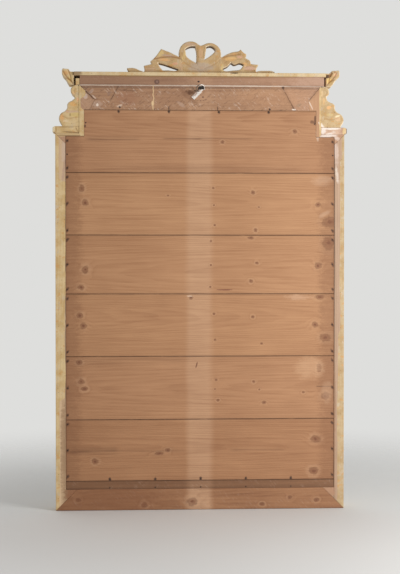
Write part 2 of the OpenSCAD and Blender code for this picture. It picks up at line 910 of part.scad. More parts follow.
strip_bottom(pearl_section);  // pearls_bottom
on_side(true) strip_side(pearl_section);  // pearls_left
on_side(false) strip_side(pearl_section);  // pearls_right
strip_top(pearl_section);  // pearls_top
on_side(true) corner_pearls();  // pearls_left_corner
on_side(false) corner_pearls();  // pearls_right_corner
cornice_board();
cornice_moulding();
cornice_end_block();
on_side(true) ear(ear_out);  // left_ear
on_side(false) ear(ear_out + ear_more);  // right_ear
on_side(true) ledge();  // left_ledge
on_side(false) ledge();  // right_ledge
on_side(true) scroll(0);  // left_scroll
on_side(false) scroll(scroll_more);  // right_scroll
crest_bow();
crest_left_ribbon();
crest_right_ribbon();
crest_left_leaf();
crest_right_leaf();
crest_pegs();
hanger_strap();
hanger_ring();
hanger_screws();
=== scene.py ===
import math
from functools import reduce
import bmesh
import bpy
import numpy as np
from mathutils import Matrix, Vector


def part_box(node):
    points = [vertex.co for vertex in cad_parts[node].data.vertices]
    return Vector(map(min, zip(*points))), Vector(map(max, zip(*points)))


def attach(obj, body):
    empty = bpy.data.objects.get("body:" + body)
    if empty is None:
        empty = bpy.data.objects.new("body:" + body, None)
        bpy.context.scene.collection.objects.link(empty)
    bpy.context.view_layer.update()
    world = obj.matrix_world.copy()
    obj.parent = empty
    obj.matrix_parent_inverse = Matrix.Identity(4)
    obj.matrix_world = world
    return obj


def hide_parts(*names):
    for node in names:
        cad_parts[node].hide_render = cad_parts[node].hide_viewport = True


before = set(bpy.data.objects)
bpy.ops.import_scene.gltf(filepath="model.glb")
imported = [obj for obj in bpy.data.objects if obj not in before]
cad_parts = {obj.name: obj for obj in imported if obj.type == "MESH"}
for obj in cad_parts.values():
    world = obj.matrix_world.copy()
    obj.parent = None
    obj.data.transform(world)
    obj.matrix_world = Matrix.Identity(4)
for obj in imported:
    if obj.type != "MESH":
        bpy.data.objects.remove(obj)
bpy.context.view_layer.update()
mm = 0.001
print("frame loaded:", len(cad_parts), "nodes")


# Camera: at mid height, a little above and to the left of square to the back

camera = {
    "distance": 3.5,          # from the back of the frame, in metres
    "azimuth": 3.03,          # degrees towards the left stile
    "elevation": 1.07,        # degrees
    "aim": (0.0017, 0.022, 0.6037),
    "pixelsPerMetre": 369.6,  # at the back of the frame
    "imageHeight": 574,
    "sensor": 36,
}


def makeCamera(look):
    # focal length in pixels = pixels per metre x distance; the sensor is the long side's
    data = bpy.data.cameras.new("camera")
    data.sensor_width = look["sensor"]
    data.lens = look["pixelsPerMetre"] * look["distance"] * look["sensor"] / look["imageHeight"]
    made = bpy.data.objects.new("camera", data)
    bpy.context.scene.collection.objects.link(made)
    turn, rise = math.radians(look["azimuth"]), math.radians(look["elevation"])
    away = Vector((math.sin(turn) * math.cos(rise), math.cos(turn) * math.cos(rise), math.sin(rise)))
    made.location = Vector(look["aim"]) + away * look["distance"]
    made.rotation_euler = (math.pi / 2 - rise, 0, math.pi - turn)
    bpy.context.scene.camera = made


makeCamera(camera)
print("camera set")


# Shader maths: a value wraps a socket, and an expression on values adds its nodes

class Value:
    def __init__(self, surface, socket):
        self.surface = surface
        self.socket = socket

    def maths(self, operation, *others, clamp=False):
        sockets = dict(enumerate((self,) + others))
        return self.surface.node("ShaderNodeMath", {"operation": operation, "use_clamp": clamp}, sockets)

    def __add__(self, other):
        return self.maths("ADD", other)

    def __sub__(self, other):
        return self.maths("SUBTRACT", other)

    def __mul__(self, other):
        return self.maths("MULTIPLY", other)

    def __truediv__(self, other):
        return self.maths("DIVIDE", other)

    def __pow__(self, other):
        return self.maths("POWER", other)

    def __rsub__(self, other):
        return self.surface.node("ShaderNodeMath", {"operation": "SUBTRACT"}, {0: other, 1: self})

    def __abs__(self):
        return self.maths("ABSOLUTE")

    __radd__ = __add__
    __rmul__ = __mul__

    def least(self, other):
        return self.maths("MINIMUM", other)

    def most(self, other):
        return self.maths("MAXIMUM", other)

    def rise(self, low, high):
        # 0 below low, 1 above high, smooth between; low may be above high
        settings = {"interpolation_type": "SMOOTHSTEP"}
        return self.surface.node("ShaderNodeMapRange", settings, {0: self, 1: low, 2: high})


def rootSum(u, v):
    # sqrt(u^2 + v^2)
    return (u * u + v * v) ** 0.5


noiseSteps = (37, 61, 89)  # how far a shift of 1 moves a noise along x, y and z, in millimetres
dotSteps = (53, 29, 71)    # and how far it moves the dots


class Surface:
    # A material being made: node() adds any node, with its settings first and then its sockets
    def __init__(self, name):
        self.material = bpy.data.materials.new(name)
        self.material.use_nodes = True
        self.tree = self.material.node_tree
        self.shader = self.tree.nodes["Principled BSDF"]

    def node(self, kind, settings, sockets, out=0):
        # gives one output, or several where out is a tuple
        made = self.tree.nodes.new(kind)
        for name, value in settings.items():
            setattr(made, name, value)
        for name, value in sockets.items():
            self.join(made.inputs[name], value)
        if isinstance(out, tuple):
            return [Value(self, made.outputs[name]) for name in out]
        return Value(self, made.outputs[out])

    def join(self, socket, value):
        if isinstance(value, Value):
            self.tree.links.new(value.socket, socket)
        else:
            socket.default_value = value

    def place(self):
        # Object coordinates in millimetres, whole and as x, y and z
        point = self.node("ShaderNodeTexCoord", {}, {}, out="Object")
        point = self.vector("SCALE", point, Scale=1 / mm)
        return point, *self.node("ShaderNodeSeparateXYZ", {}, {0: point}, out=(0, 1, 2))

    def vector(self, operation, *values, **named):
        sockets = {**dict(enumerate(values)), **named}
        return self.node("ShaderNodeVectorMath", {"operation": operation}, sockets)

    def moved(self, point, shift, steps):
        return self.vector("ADD", point, tuple(shift * step for step in steps))

    def turned(self, point, degrees):
        # the point turned about the y axis
        sockets = {"Vector": point, "Angle": math.radians(degrees)}
        return self.node("ShaderNodeVectorRotate", {"rotation_type": "Y_AXIS"}, sockets)

    def noise(self, point, sizes, detail=3, rough=0.55, shift=0):
        # Noise whose features are sizes millimetres long along x, y and z, or one size all ways
        scales = tuple(1 / np.broadcast_to(sizes, 3))
        scaled = self.vector("MULTIPLY", self.moved(point, shift, noiseSteps), scales)
        sockets = {"Vector": scaled, "Scale": 1, "Detail": detail, "Roughness": rough}
        return self.node("ShaderNodeTexNoise", {}, sockets)

    def speckle(self, point, pitch, radius, share, shift=0):
        # Round dots of that radius, one in each cell of that pitch, kept in a share of the cells
        sockets = {"Vector": self.moved(point, shift, dotSteps), "Scale": 1 / pitch, "Randomness": 1}
        distance, cell = self.node("ShaderNodeTexVoronoi", {}, sockets, out=("Distance", "Color"))
        tint = self.node("ShaderNodeSeparateColor", {}, {0: cell})
        return distance.rise(radius / pitch, radius / pitch * 0.6) * tint.rise(share + 0.01, share)

    def attribute(self, name):
        return self.node("ShaderNodeAttribute", {"attribute_name": name}, {}, out="Fac")

    def mix(self, factor, first, second):
        return self.node("ShaderNodeMix", {"data_type": "RGBA"}, {0: factor, 6: first, 7: second}, out=2)

    def finish(self, height=None, depth=0, **sockets):
        # Sockets of the shader, and a bump of that many millimetres from the height
        for name, value in sockets.items():
            self.join(self.shader.inputs[name.replace("_", " ")], value)
        if height is not None:
            bump = {"Height": height, "Strength": 1, "Distance": depth * mm}
            self.join(self.shader.inputs["Normal"], self.node("ShaderNodeBump", {}, bump))
        return self.material


def spot(x, z, place, ragged):
    # (u / length)^2 + (v / width)^2 + ragged about a centre; u runs along a line that climbs by turn degrees
    middle, height, length, width, turn = (*place, 0)[:5]
    c, s = math.cos(math.radians(turn)), math.sin(math.radians(turn))
    u = ((x - middle) * c + (z - height) * s) / length
    v = ((z - height) * c - (x - middle) * s) / width
    return u * u + v * v + ragged


def addMarks(s, point, x, z, colour, marks):
    # a mark is a spot (x, z, half length, half width, any turn), its tone, its share and how hard its edge is
    if not marks:
        return colour
    fine = s.noise(point, 4, detail=4, rough=0.7, shift=51) - 0.5
    coarse = s.noise(point, (20, 20, 9), rough=0.6, shift=53) - 0.5
    ragged = fine * 1.4 + coarse * 1.8
    for place, shade, share, hard in marks:
        inside = spot(x, z, place, ragged).rise(1.3, 1.2 * hard)
        colour = s.mix(inside * share, colour, tone(*shade))
    return colour


def tone(red, green, blue):
    # A screen colour from 0 to 255 as the linear colour that shows as it
    share = np.array([red, green, blue]) / 255
    linear = np.where(share <= 0.04045, share / 12.92, ((share + 0.055) / 1.055) ** 2.4)
    return (*map(float, linear), 1)


# Meshes: the carvings and pearls are grids of points worked out as whole arrays

def gridFaces(rows, columns, wrap):
    # the four corners of each cell; wrap joins the last column to the first
    i = np.arange(rows - 1)[:, None]
    j = np.arange(columns if wrap else columns - 1)[None, :]
    k = (j + 1) % columns
    corners = (i * columns + j, i * columns + k, (i + 1) * columns + k, (i + 1) * columns + j)
    return np.stack(corners, -1).reshape(-1, 4)


def outward(points, groups):
    # the volume under a fan of triangles from each face's first corner; faces turn over where it is negative
    volume = 0
    for faces in groups:
        for k in range(1, faces.shape[1] - 1):
            second, third = points[faces[:, k]], points[faces[:, k + 1]]
            volume += np.einsum("ij,ij->", points[faces[:, 0]], np.cross(second, third))
    return groups if volume > 0 else [faces[:, ::-1] for faces in groups]


def addPiece(name, mesh, nodes, material, sharp, body="frame"):
    # the mesh as a piece in place of its nodes, smooth but for edges that turn by more than sharp degrees
    mesh.polygons.foreach_set("use_smooth", [True] * len(mesh.polygons))
    mesh.set_sharp_from_angle(angle=math.radians(sharp))
    mesh.materials.clear()
    mesh.materials.append(material)
    made = bpy.data.objects.new(name, mesh)
    bpy.context.scene.collection.objects.link(made)
    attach(made, body)
    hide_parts(*nodes)
    return made


def newMesh(name, points, groups):
    # points are in millimetres
    mesh = bpy.data.meshes.new(name)
    faces = [face for group in outward(points, groups) for face in group.tolist()]
    mesh.from_pydata((points * mm).tolist(), [], faces)
    mesh.update()
    return mesh


def softLine(points, steps=6, closed=True, corner=50):
    # A cubic between each two corners. Its slope at a corner lies between the spans beside it, nearer the
    # shorter one's, and follows each span's own line where the turn is sharper than corner degrees.
    points = np.array(points, float)
    run = np.roll(points, -1, axis=0) - points
    if not closed:
        run[-1] = run[-2]
    length = np.linalg.norm(run, axis=1, keepdims=True)
    run = run / length
    last, lastLength = np.roll(run, 1, axis=0), np.roll(length, 1, axis=0)
    if not closed:
        last[0] = run[0]
    slope = last * length + run * lastLength
    slope /= np.linalg.norm(slope, axis=1, keepdims=True)
    sharp = (last * run).sum(1, keepdims=True) < math.cos(math.radians(corner))
    leave = np.where(sharp, run, slope)
    arrive = np.roll(np.where(sharp, last, slope), -1, axis=0)
    following = np.roll(points, -1, axis=0)
    t = np.linspace(0, 1, steps, endpoint=False)[:, None, None]
    curve = ((2 * t ** 3 - 3 * t ** 2 + 1) * points + (t ** 3 - 2 * t ** 2 + t) * length * leave
             + (3 * t ** 2 - 2 * t ** 3) * following + (t ** 3 - t ** 2) * length * arrive)
    curve = curve.transpose(1, 0, 2)
    if closed:
        return curve.reshape(-1, 2)
    return np.concatenate([curve[:-1].reshape(-1, 2), points[-1:]])


def lineDistance(places, starts, ends):
    # distance from each place to the nearest of the segments, and the nearest point
    run = ends - starts
    gap = places[:, None] - starts[None]
    share = np.clip((gap * run).sum(-1) / (run ** 2).sum(-1), 0, 1)
    feet = starts + share[..., None] * run
    distance = np.linalg.norm(places[:, None] - feet, axis=-1)
    first = distance.argmin(1)
    rows = np.arange(len(places))
    return distance[rows, first], feet[rows, first]


def insideOf(places, starts, ends):
    # a place is inside when a line to its right crosses the outlines an odd number of times
    x, z = places[:, :1], places[:, 1:]
    spans = (starts[:, 1] > z) != (ends[:, 1] > z)
    rise = np.where(ends[:, 1] == starts[:, 1], 1, ends[:, 1] - starts[:, 1])
    reach = starts[:, 0] + (z - starts[:, 1]) * (ends[:, 0] - starts[:, 0]) / rise
    return (spans & (x < reach)).sum(1) % 2 == 1


def outlineOf(node):
    # the borders of a node's flat back, as (x, z) in millimetres: the edges that only one of its faces has
    work = mergedNodes([node])
    flat = {face for face in work.faces if face.normal.y > 0.99}
    following = {}
    for corner in (corner for face in flat for corner in face.loops):
        if sum(face in flat for face in corner.edge.link_faces) == 1:
            following[corner.vert] = corner.link_loop_next.vert
    loops = []
    while following:
        vertex, line = next(iter(following)), []
        while vertex in following:
            line.append((vertex.co.x / mm, vertex.co.z / mm))
            vertex = following.pop(vertex)
        loops.append(np.array(line))
    work.free()
    return loops


def mergedNodes(nodes):
    # the CAD nodes' meshes in one, with double points merged and flat triangles joined
    work = bmesh.new()
    for node in nodes:
        work.from_mesh(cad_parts[node].data)
    bmesh.ops.remove_doubles(work, verts=work.verts, dist=2e-6)
    bmesh.ops.dissolve_limit(work, angle_limit=0.01, verts=work.verts, edges=work.edges)
    return work


def wornCopy(name, nodes, material, wear, sharp=40, body="frame"):
    # the CAD shape with its arrises rounded by wear, in millimetres
    mesh = bpy.data.meshes.new(name)
    work = mergedNodes(nodes)
    work.to_mesh(mesh)
    work.free()
    if "custom_normal" in mesh.attributes:
        mesh.attributes.remove(mesh.attributes["custom_normal"])
    made = addPiece(name, mesh, nodes, material, sharp, body)
    if wear:
        bevel = made.modifiers.new("wear", "BEVEL")
        bevel.width, bevel.segments = wear * mm, 2
        bevel.limit_method, bevel.angle_limit = "ANGLE", math.radians(sharp)
        bevel.harden_normals = True


def reliefOf(look, places, distance):
    # depths cut into the back and the front: grooves exp(-(distance / width)^2) along the creases, and on the
    # front a fall of dome from reach millimetres inside down to the outline
    back, front = np.zeros(len(places)), np.zeros(len(places))
    for line, width, backDepth, frontDepth in look.get("creases", ()):
        line = softLine(line, closed=False)
        groove = np.exp(-(lineDistance(places, line[:-1], line[1:])[0] / width) ** 2)
        back += backDepth * groove
        front += frontDepth * groove
    dome, reach = look["dome"]
    inside = np.clip(distance / reach, 0, 1)
    return back, front, dome * (1 - inside) ** 2


def segments(loops):
    return np.concatenate(loops), np.concatenate([np.roll(loop, -1, axis=0) for loop in loops])


def freeEdges(starts, ends, others):
    # the segments whose middle is over touch millimetres from the neighbours and from the joined lines
    touch = 0.9
    middles = (starts + ends) / 2
    free = lineDistance(middles, *segments(others))[0] > touch
    for axis, value in joinedLines:
        free &= np.abs(np.abs(middles[:, axis]) - value) > touch
    return starts[free], ends[free]


def fillOutline(cell, starts, ends):
    # a grid over the outlines, with the points near an edge moved onto it; its cells inside are quads, and
    # triangles where one corner lies outside
    low, high = starts.min(0) - cell, starts.max(0) + cell
    sides = [np.arange(low[k], high[k] + cell, cell) for k in range(2)]
    places = np.stack(np.meshgrid(*sides, indexing="ij"), -1).reshape(-1, 2)
    distance, feet = lineDistance(places, starts, ends)
    distance = np.where(insideOf(places, starts, ends), distance, -distance)
    edge = np.abs(distance) < 0.5 * cell
    places = np.where(edge[:, None], feet, places)
    distance = np.where(edge, 0, distance)
    cells = gridFaces(len(sides[0]), len(sides[1]), wrap=False)
    kept = (distance >= 0)[cells]
    quads = cells[kept.all(1)]
    three = cells[kept.sum(1) == 3]
    missing = (~kept[kept.sum(1) == 3]).argmax(1)
    turns = (missing[:, None] + np.arange(1, 4)) % 4
    triangles = np.take_along_axis(three, turns, 1)
    used, index = np.unique(np.concatenate([quads.ravel(), triangles.ravel()]), return_inverse=True)
    return places[used], index[:quads.size].reshape(-1, 4), index[quads.size:].reshape(-1, 3)


def carve(name, look, loops, others):
    # A carved board. With d the distance inside the free edges and r their radius, both faces fall by
    # r - sqrt(r^2 - (r - d)^2) towards the edge, and by the relief. Near edges that face down the front
    # is undercut: it reaches lower, by exp(-(d / spread)^2).
    radius = look["round"]
    starts, ends = segments(loops)
    places, quads, triangles = fillOutline(look["cell"], starts, ends)
    free = freeEdges(starts, ends, others)
    distance = lineDistance(places, *free)[0]
    run = free[1] - free[0]
    facesDown = -run[:, 0] > 0.6 * np.abs(run[:, 1])
    down = [side[facesDown] for side in free]
    under = look["undercut"] * np.exp(-(lineDistance(places, *down)[0] / look["spread"]) ** 2)
    rounding = radius - np.sqrt(radius ** 2 - np.clip(radius - distance, 0, radius) ** 2)
    fade = np.clip(distance / radius, 0, 1)
    backGroove, frontGroove, fall = reliefOf(look, places, distance)
    back = look["back"] - rounding - backGroove * fade
    front = look["front"] + rounding + (frontGroove + fall) * fade
    count = len(places)
    lower = np.maximum(places[:, 1] - under, places[:, 1].min())
    sheets = [np.stack([places[:, 0], back, places[:, 1]], -1), np.stack([places[:, 0], front, lower], -1)]
    sides = np.concatenate([quads[:, [k, (k + 1) % 4]] for k in range(4)]
                           + [triangles[:, [k, (k + 1) % 3]] for k in range(3)])
    _, first, times = np.unique(np.sort(sides, 1), axis=0, return_index=True, return_counts=True)
    rim = sides[first[times == 1]]
    around, rimIndex = np.unique(rim, return_inverse=True)
    rimIndex = rimIndex.reshape(-1, 2)
    steps = np.linspace(0, 1, look["walls"] + 1)[1:-1]
    wall = [sheets[0][around] * (1 - t) + sheets[1][around] * t for t in steps]
    rows = [around] + [2 * count + k * len(around) + np.arange(len(around)) for k in range(len(wall))]
    rows.append(around + count)
    strips = [np.stack([a[rimIndex[:, 1]], a[rimIndex[:, 0]], b[rimIndex[:, 0]], b[rimIndex[:, 1]]], -1)
              for a, b in zip(rows, rows[1:])]
    points = np.concatenate(sheets + wall)
    # marks of the points, which the paint reads
    near = np.exp(-distance / (0.8 * radius))
    ones = np.ones(len(points) - 2 * count)
    # the wall points beside edges that face down, which get painted shade
    paintedShade = np.tile(np.where(lineDistance(places[around], *down)[0] < 0.5, 1, 0), len(wall))
    inner = np.where(np.isin(np.arange(count), around), 0, 1)
    marks = {
        "edge": np.concatenate([near, near, 0.4 * ones]),
        "groove": np.concatenate([backGroove, frontGroove, 0 * ones]),
        "leaf": np.concatenate([0 * near, inner, 0 * ones]),
        "wall": np.concatenate([0 * near, 0 * near, paintedShade]),
    }
    groups = [quads, quads[:, ::-1] + count, triangles, triangles[:, ::-1] + count, *strips]
    mesh = newMesh(name, points, groups)
    for mark, values in marks.items():
        mesh.attributes.new(mark, "FLOAT", "POINT").data.foreach_set("value", values.astype(np.float32))
    return mesh


# Surfaces

def ochreColour(s, point, look):
    # Ochre wash: two ochres mixed by slow noise, orange where a second noise is high, pale gesso where a
    # third is, and small brown flecks
    cloud = s.noise(point, 26, detail=4, shift=1)
    colour = s.mix(cloud.rise(0.35, 0.68), look["ochre"], look["ochreDeep"])
    orange = s.noise(point, (15, 15, 9), shift=2).rise(0.58, 0.70)
    colour = s.mix(orange * look["orangeShare"], colour, look["orange"])
    gesso = s.noise(point, (11, 11, 18), detail=5, rough=0.7, shift=3).rise(0.55, 0.66)
    colour = s.mix(gesso * look["gessoShare"], colour, look["gesso"])
    fleck = s.speckle(point, 9, 1.5, 0.35, shift=4)
    return s.mix(fleck * 0.6, colour, look["fleck"])


ochreLook = {
    "ochre": tone(216, 188, 140),
    "ochreDeep": tone(200, 166, 112),
    "orange": tone(203, 146, 78),
    "orangeShare": 0.6,
    "gesso": tone(198, 182, 160),
    "gessoShare": 0.5,
    "fleck": tone(120, 84, 48),
    "groove": tone(150, 102, 56),
    "rubbed": tone(238, 222, 194),  # the gesso that shows along worn edges
    "paintedShade": tone(70, 46, 24),     # painted shade on walls that face down, under the carving
    "paintedShadeShare": 0,
    "marks": (),
}

goldLook = {
    "gold": (0.86, 0.60, 0.24, 1),
    "goldPale": (0.92, 0.70, 0.36, 1),
    "bole": tone(142, 66, 40),
    "dirtAndShade": tone(88, 62, 36),
}


def giltColour(s, point, look):
    # Gold leaf: pale and deep leaf in squares of slow noise, red bole where the worn noise is high,
    # and dirt where a finer one is. Also gives how metallic and how rough it is.
    leaf = s.noise(point, 34, detail=2, shift=5)
    worn = s.noise(point, 12, detail=6, rough=0.72, shift=6).rise(0.60, 0.70)
    dirtAndShade = s.noise(point, 7, detail=4, rough=0.6, shift=7).rise(0.55, 0.75)
    colour = s.mix(leaf.rise(0.35, 0.65), look["gold"], look["goldPale"])
    colour = s.mix(dirtAndShade * 0.35, colour, look["dirtAndShade"])
    colour = s.mix(worn * 0.8, colour, look["bole"])
    metallic = 1 - (worn * 0.85).most(dirtAndShade * 0.4)
    return colour, metallic, 0.38 + worn * 0.25 + dirtAndShade * 0.2


def carvedSurface(name, look):
    # Ochre wash behind and on the sides; gold leaf in front of the plane y = leafLine and on carved fronts.
    # The grooves are darker and the edges are rubbed down to gesso.
    s = Surface(name)
    point, x, y, z = s.place()
    wobble = s.noise(point, 20, shift=8) - 0.5
    leaf = (y + wobble * 6).rise(look["leafLine"] + 0.8, look["leafLine"] - 0.8)
    leaf = leaf.most((s.attribute("leaf") + wobble * 0.4).rise(0.5, 0.6))
    colour = addMarks(s, point, x, z, ochreColour(s, point, look), look["marks"])
    groove = s.attribute("groove").rise(0.1, 1.9)
    edge = s.attribute("edge").rise(0.25, 0.8) * s.noise(point, 9, shift=9).rise(0.40, 0.56)
    colour = s.mix(groove * 0.75, colour, look["groove"])
    colour = s.mix(edge * 0.75, colour, look["rubbed"])
    # painted shade on the walls that face down
    colour = s.mix(s.attribute("wall").rise(0.05, 0.5) * look["paintedShadeShare"], colour, look["paintedShade"])
    gold, metallic, rough = giltColour(s, point, goldLook)
    gold = s.mix(groove * 0.6, gold, goldLook["dirtAndShade"])
    brush = s.noise(point, (2, 2, 24), shift=10)
    lump = s.noise(point, 6, detail=4, shift=11)
    return s.finish(
        height=brush * 0.3 + lump, depth=0.7,
        Base_Color=s.mix(leaf, colour, gold), Metallic=leaf * metallic,
        Roughness=0.72 - leaf * (0.72 - rough),
    )


def giltSurface(name, look):
    # Gold leaf over the whole piece, on gesso that is lumpy by noise
    s = Surface(name)
    point = s.place()[0]
    gold, metallic, rough = giltColour(s, point, look)
    lump = s.noise(point, 9, detail=4, shift=12)
    return s.finish(height=lump, depth=0.5, Base_Color=gold, Metallic=metallic, Roughness=rough)


def knotsOver(s, colour, look, knot, wobble, cloud, streak):
    # knot is 1 at a knot's edge: brown inside, with a dark outline, and a paler ring to 2
    rim = knot.rise(2.3, 1.5) * knot.rise(0.8, 1.3) * cloud.rise(0.3, 0.6)
    colour = s.mix(rim * 0.16, colour, look["bleached"])
    turning = (knot * 9 + wobble * 3).maths("SINE") * 0.12 + 0.66 + knot.rise(0.6, 0.1) * 0.22
    colour = s.mix(knot.rise(1.15, 0.45) * turning, colour, look["knot"])
    outline = abs(knot - 0.95 + wobble * 0.5).rise(0.35, 0.05) * streak.rise(0.2, 0.5)
    return s.mix(outline * 0.3, colour, look["grime"])


def scuffsOver(s, point, colour, look):
    # pale where slanting narrow noise is high within patches, dark where a second one, crossing it, is low
    seed, share = look["seed"], look["scuffs"]
    rub = s.noise(s.turned(point, 48), (13, 9, 3), detail=4, rough=0.68, shift=seed + 1.1)
    cross = s.noise(s.turned(point, -38), (14, 9, 3.4), detail=4, rough=0.68, shift=seed + 1.4)
    patch = s.noise(point, (45, 45, 30), detail=2, shift=seed + 1.7).rise(0.38, 0.62)
    colour = s.mix(rub.rise(0.53, 0.66) * patch * share, colour, look["rubbed"])
    return s.mix(cross.rise(0.46, 0.34) * share * 0.7, colour, look["grime"])


def streaksOver(s, x, z, colour, look, streak):
    # darker bands along the grain, by middle, half length, height, half height and share
    for middle, half, height, tall, share in look["streaks"]:
        off = (z - height + (streak - 0.5) * tall) / tall
        inside = (off * off * -1).maths("EXPONENT") * abs(x - middle).rise(half, half * 0.7)
        colour = s.mix(inside * streak.rise(0.25, 0.6) * share, colour, look["grime"])
    return colour


def seamsOver(s, x, z, colour, look, grit):
    # grime in the seams, listed as nx, nz, c: the line nx x + nz z = c, down to a foot where one is given
    for nx, nz, c, width, share, *foot in look["seams"]:
        gap = abs(x * nx + z * nz - c)
        for end in foot:
            gap = gap + z.rise(end + 4, end - 4) * width * 8
        seam = gap.rise(width * 1.6, width * 0.4) * grit.rise(0.30, 0.52)
        soft = gap.rise(width * 7, width) * 0.22
        colour = s.mix((seam * share).most(soft * share), colour, look["grime"])
    return colour


def nailStains(s, x, z, colour, look, wobble):
    # nails at both ends by |x| and z, and a row of nails by its first x, its pitch and its z
    nails = []
    for nx, nz in look.get("nails", ()):
        v = (z - nz) * 0.7
        nails.append(rootSum(abs(x) - nx + v * 0.5, v))
    if look.get("nailRow"):
        # the fraction is 0.5 at a nail; 40 pitches more keep it above 0
        first, pitch, nz = look["nailRow"]
        u = (((x - first) / pitch + 40.5).maths("FRACT") - 0.5) * pitch
        nails.append(rootSum(u, (z - nz) * 0.8))
    if not nails:
        return colour
    stain = (reduce(Value.least, nails) + wobble * 6).rise(5.2, 1.8)
    return s.mix(stain * 0.85, colour, look["stain"])


def pineSurface(name, look):
    # Growth rings: r = sqrt((across - heart)^2 + (depth + tilt * along)^2) / pitch, bent by slow noise and
    # bulging at knots; late wood where the fraction of r is high. Then fibres, clouds, the bleached band,
    # knots, scuffs, streaks, grime in the seams, nail stains and marks. Gives the grain's relief as well.
    s = Surface(name)
    point, x, y, z = s.place()
    upright = look.get("upright", False)
    along, across = (z, x) if upright else (x, z)
    seed = look["seed"]

    def grain(length, width, **noise):
        sizes = (width, width, length) if upright else (length, width, width)
        return s.noise(point, sizes, **noise)

    wobble = s.noise(point, 7, detail=2, shift=seed) - 0.5
    warp = s.noise(point, (16, 16, 12), shift=seed + 0.9) - 0.5
    knots = [rootSum((x - kx) / rx, (z - kz) / rz) for kx, kz, rx, rz in look["knots"]]
    knot = (reduce(Value.least, knots) if knots else 0 * x + 9) + wobble * 0.5 + warp * 1.1
    heart, depth, tilt = look["heart"]
    slow = grain(620, 80, detail=2, shift=seed + 0.3) - 0.5
    run = across - heart + slow * 24
    into = y - depth + along * tilt
    ring = rootSum(run, into) / look["pitch"] + knot.rise(3.6, 0.5) * 1.3
    ring = ring + (grain(150, 9, shift=seed + 0.7) - 0.5) * 0.9
    part = ring.maths("FRACT")
    late = part.rise(0.25, 0.88) * part.rise(1, 0.93)
    fibre = grain(60, 0.9, rough=0.6, shift=seed + 0.1)
    streak = grain(240, 5, shift=seed + 0.2)
    cloud = s.noise(point, (130, 60, 60), shift=seed + 0.4)
    shade = (late * streak * look["lines"] * 1.5 + (fibre - 0.5) * look["fibre"]
             + (streak - 0.5) * 0.8 + (cloud - 0.5) * look["cloud"] + 0.38)
    pale, dark = look["pale"], look["dark"]
    if look.get("band"):
        # bleached band up the middle
        middle, inner, outer, share = look["band"]
        edge = abs(x - middle) + (s.noise(point, (40, 40, 160), shift=seed + 0.5) - 0.5) * 14
        bleach = edge.rise(outer, inner) * share
        pale, dark = s.mix(bleach, pale, look["bleached"]), s.mix(bleach, dark, look["bleachedDark"])
    colour = s.mix(shade.maths("ADD", 0, clamp=True), pale, dark)
    colour = knotsOver(s, colour, look, knot, wobble, cloud, streak)
    if look["scuffs"]:
        colour = scuffsOver(s, point, colour, look)
    colour = streaksOver(s, x, z, colour, look, streak)
    colour = seamsOver(s, x, z, colour, look, grain(38, 6, detail=4, shift=seed + 0.6))
    colour = nailStains(s, x, z, colour, look, wobble)
    colour = addMarks(s, point, x, z, colour, look["marks"])
    return s, (point, x, y, z), colour, fibre * 0.7 + late * 0.3


def finishPine(s, colour, relief):
    return s.finish(height=relief, depth=0.5, Base_Color=colour, Roughness=0.66)


# Tones, the growth rings' heart (across, depth, tilt) and pitch, knots (x, z, half length, half height), and
# the streaks, seams, nails and marks that the functions above take

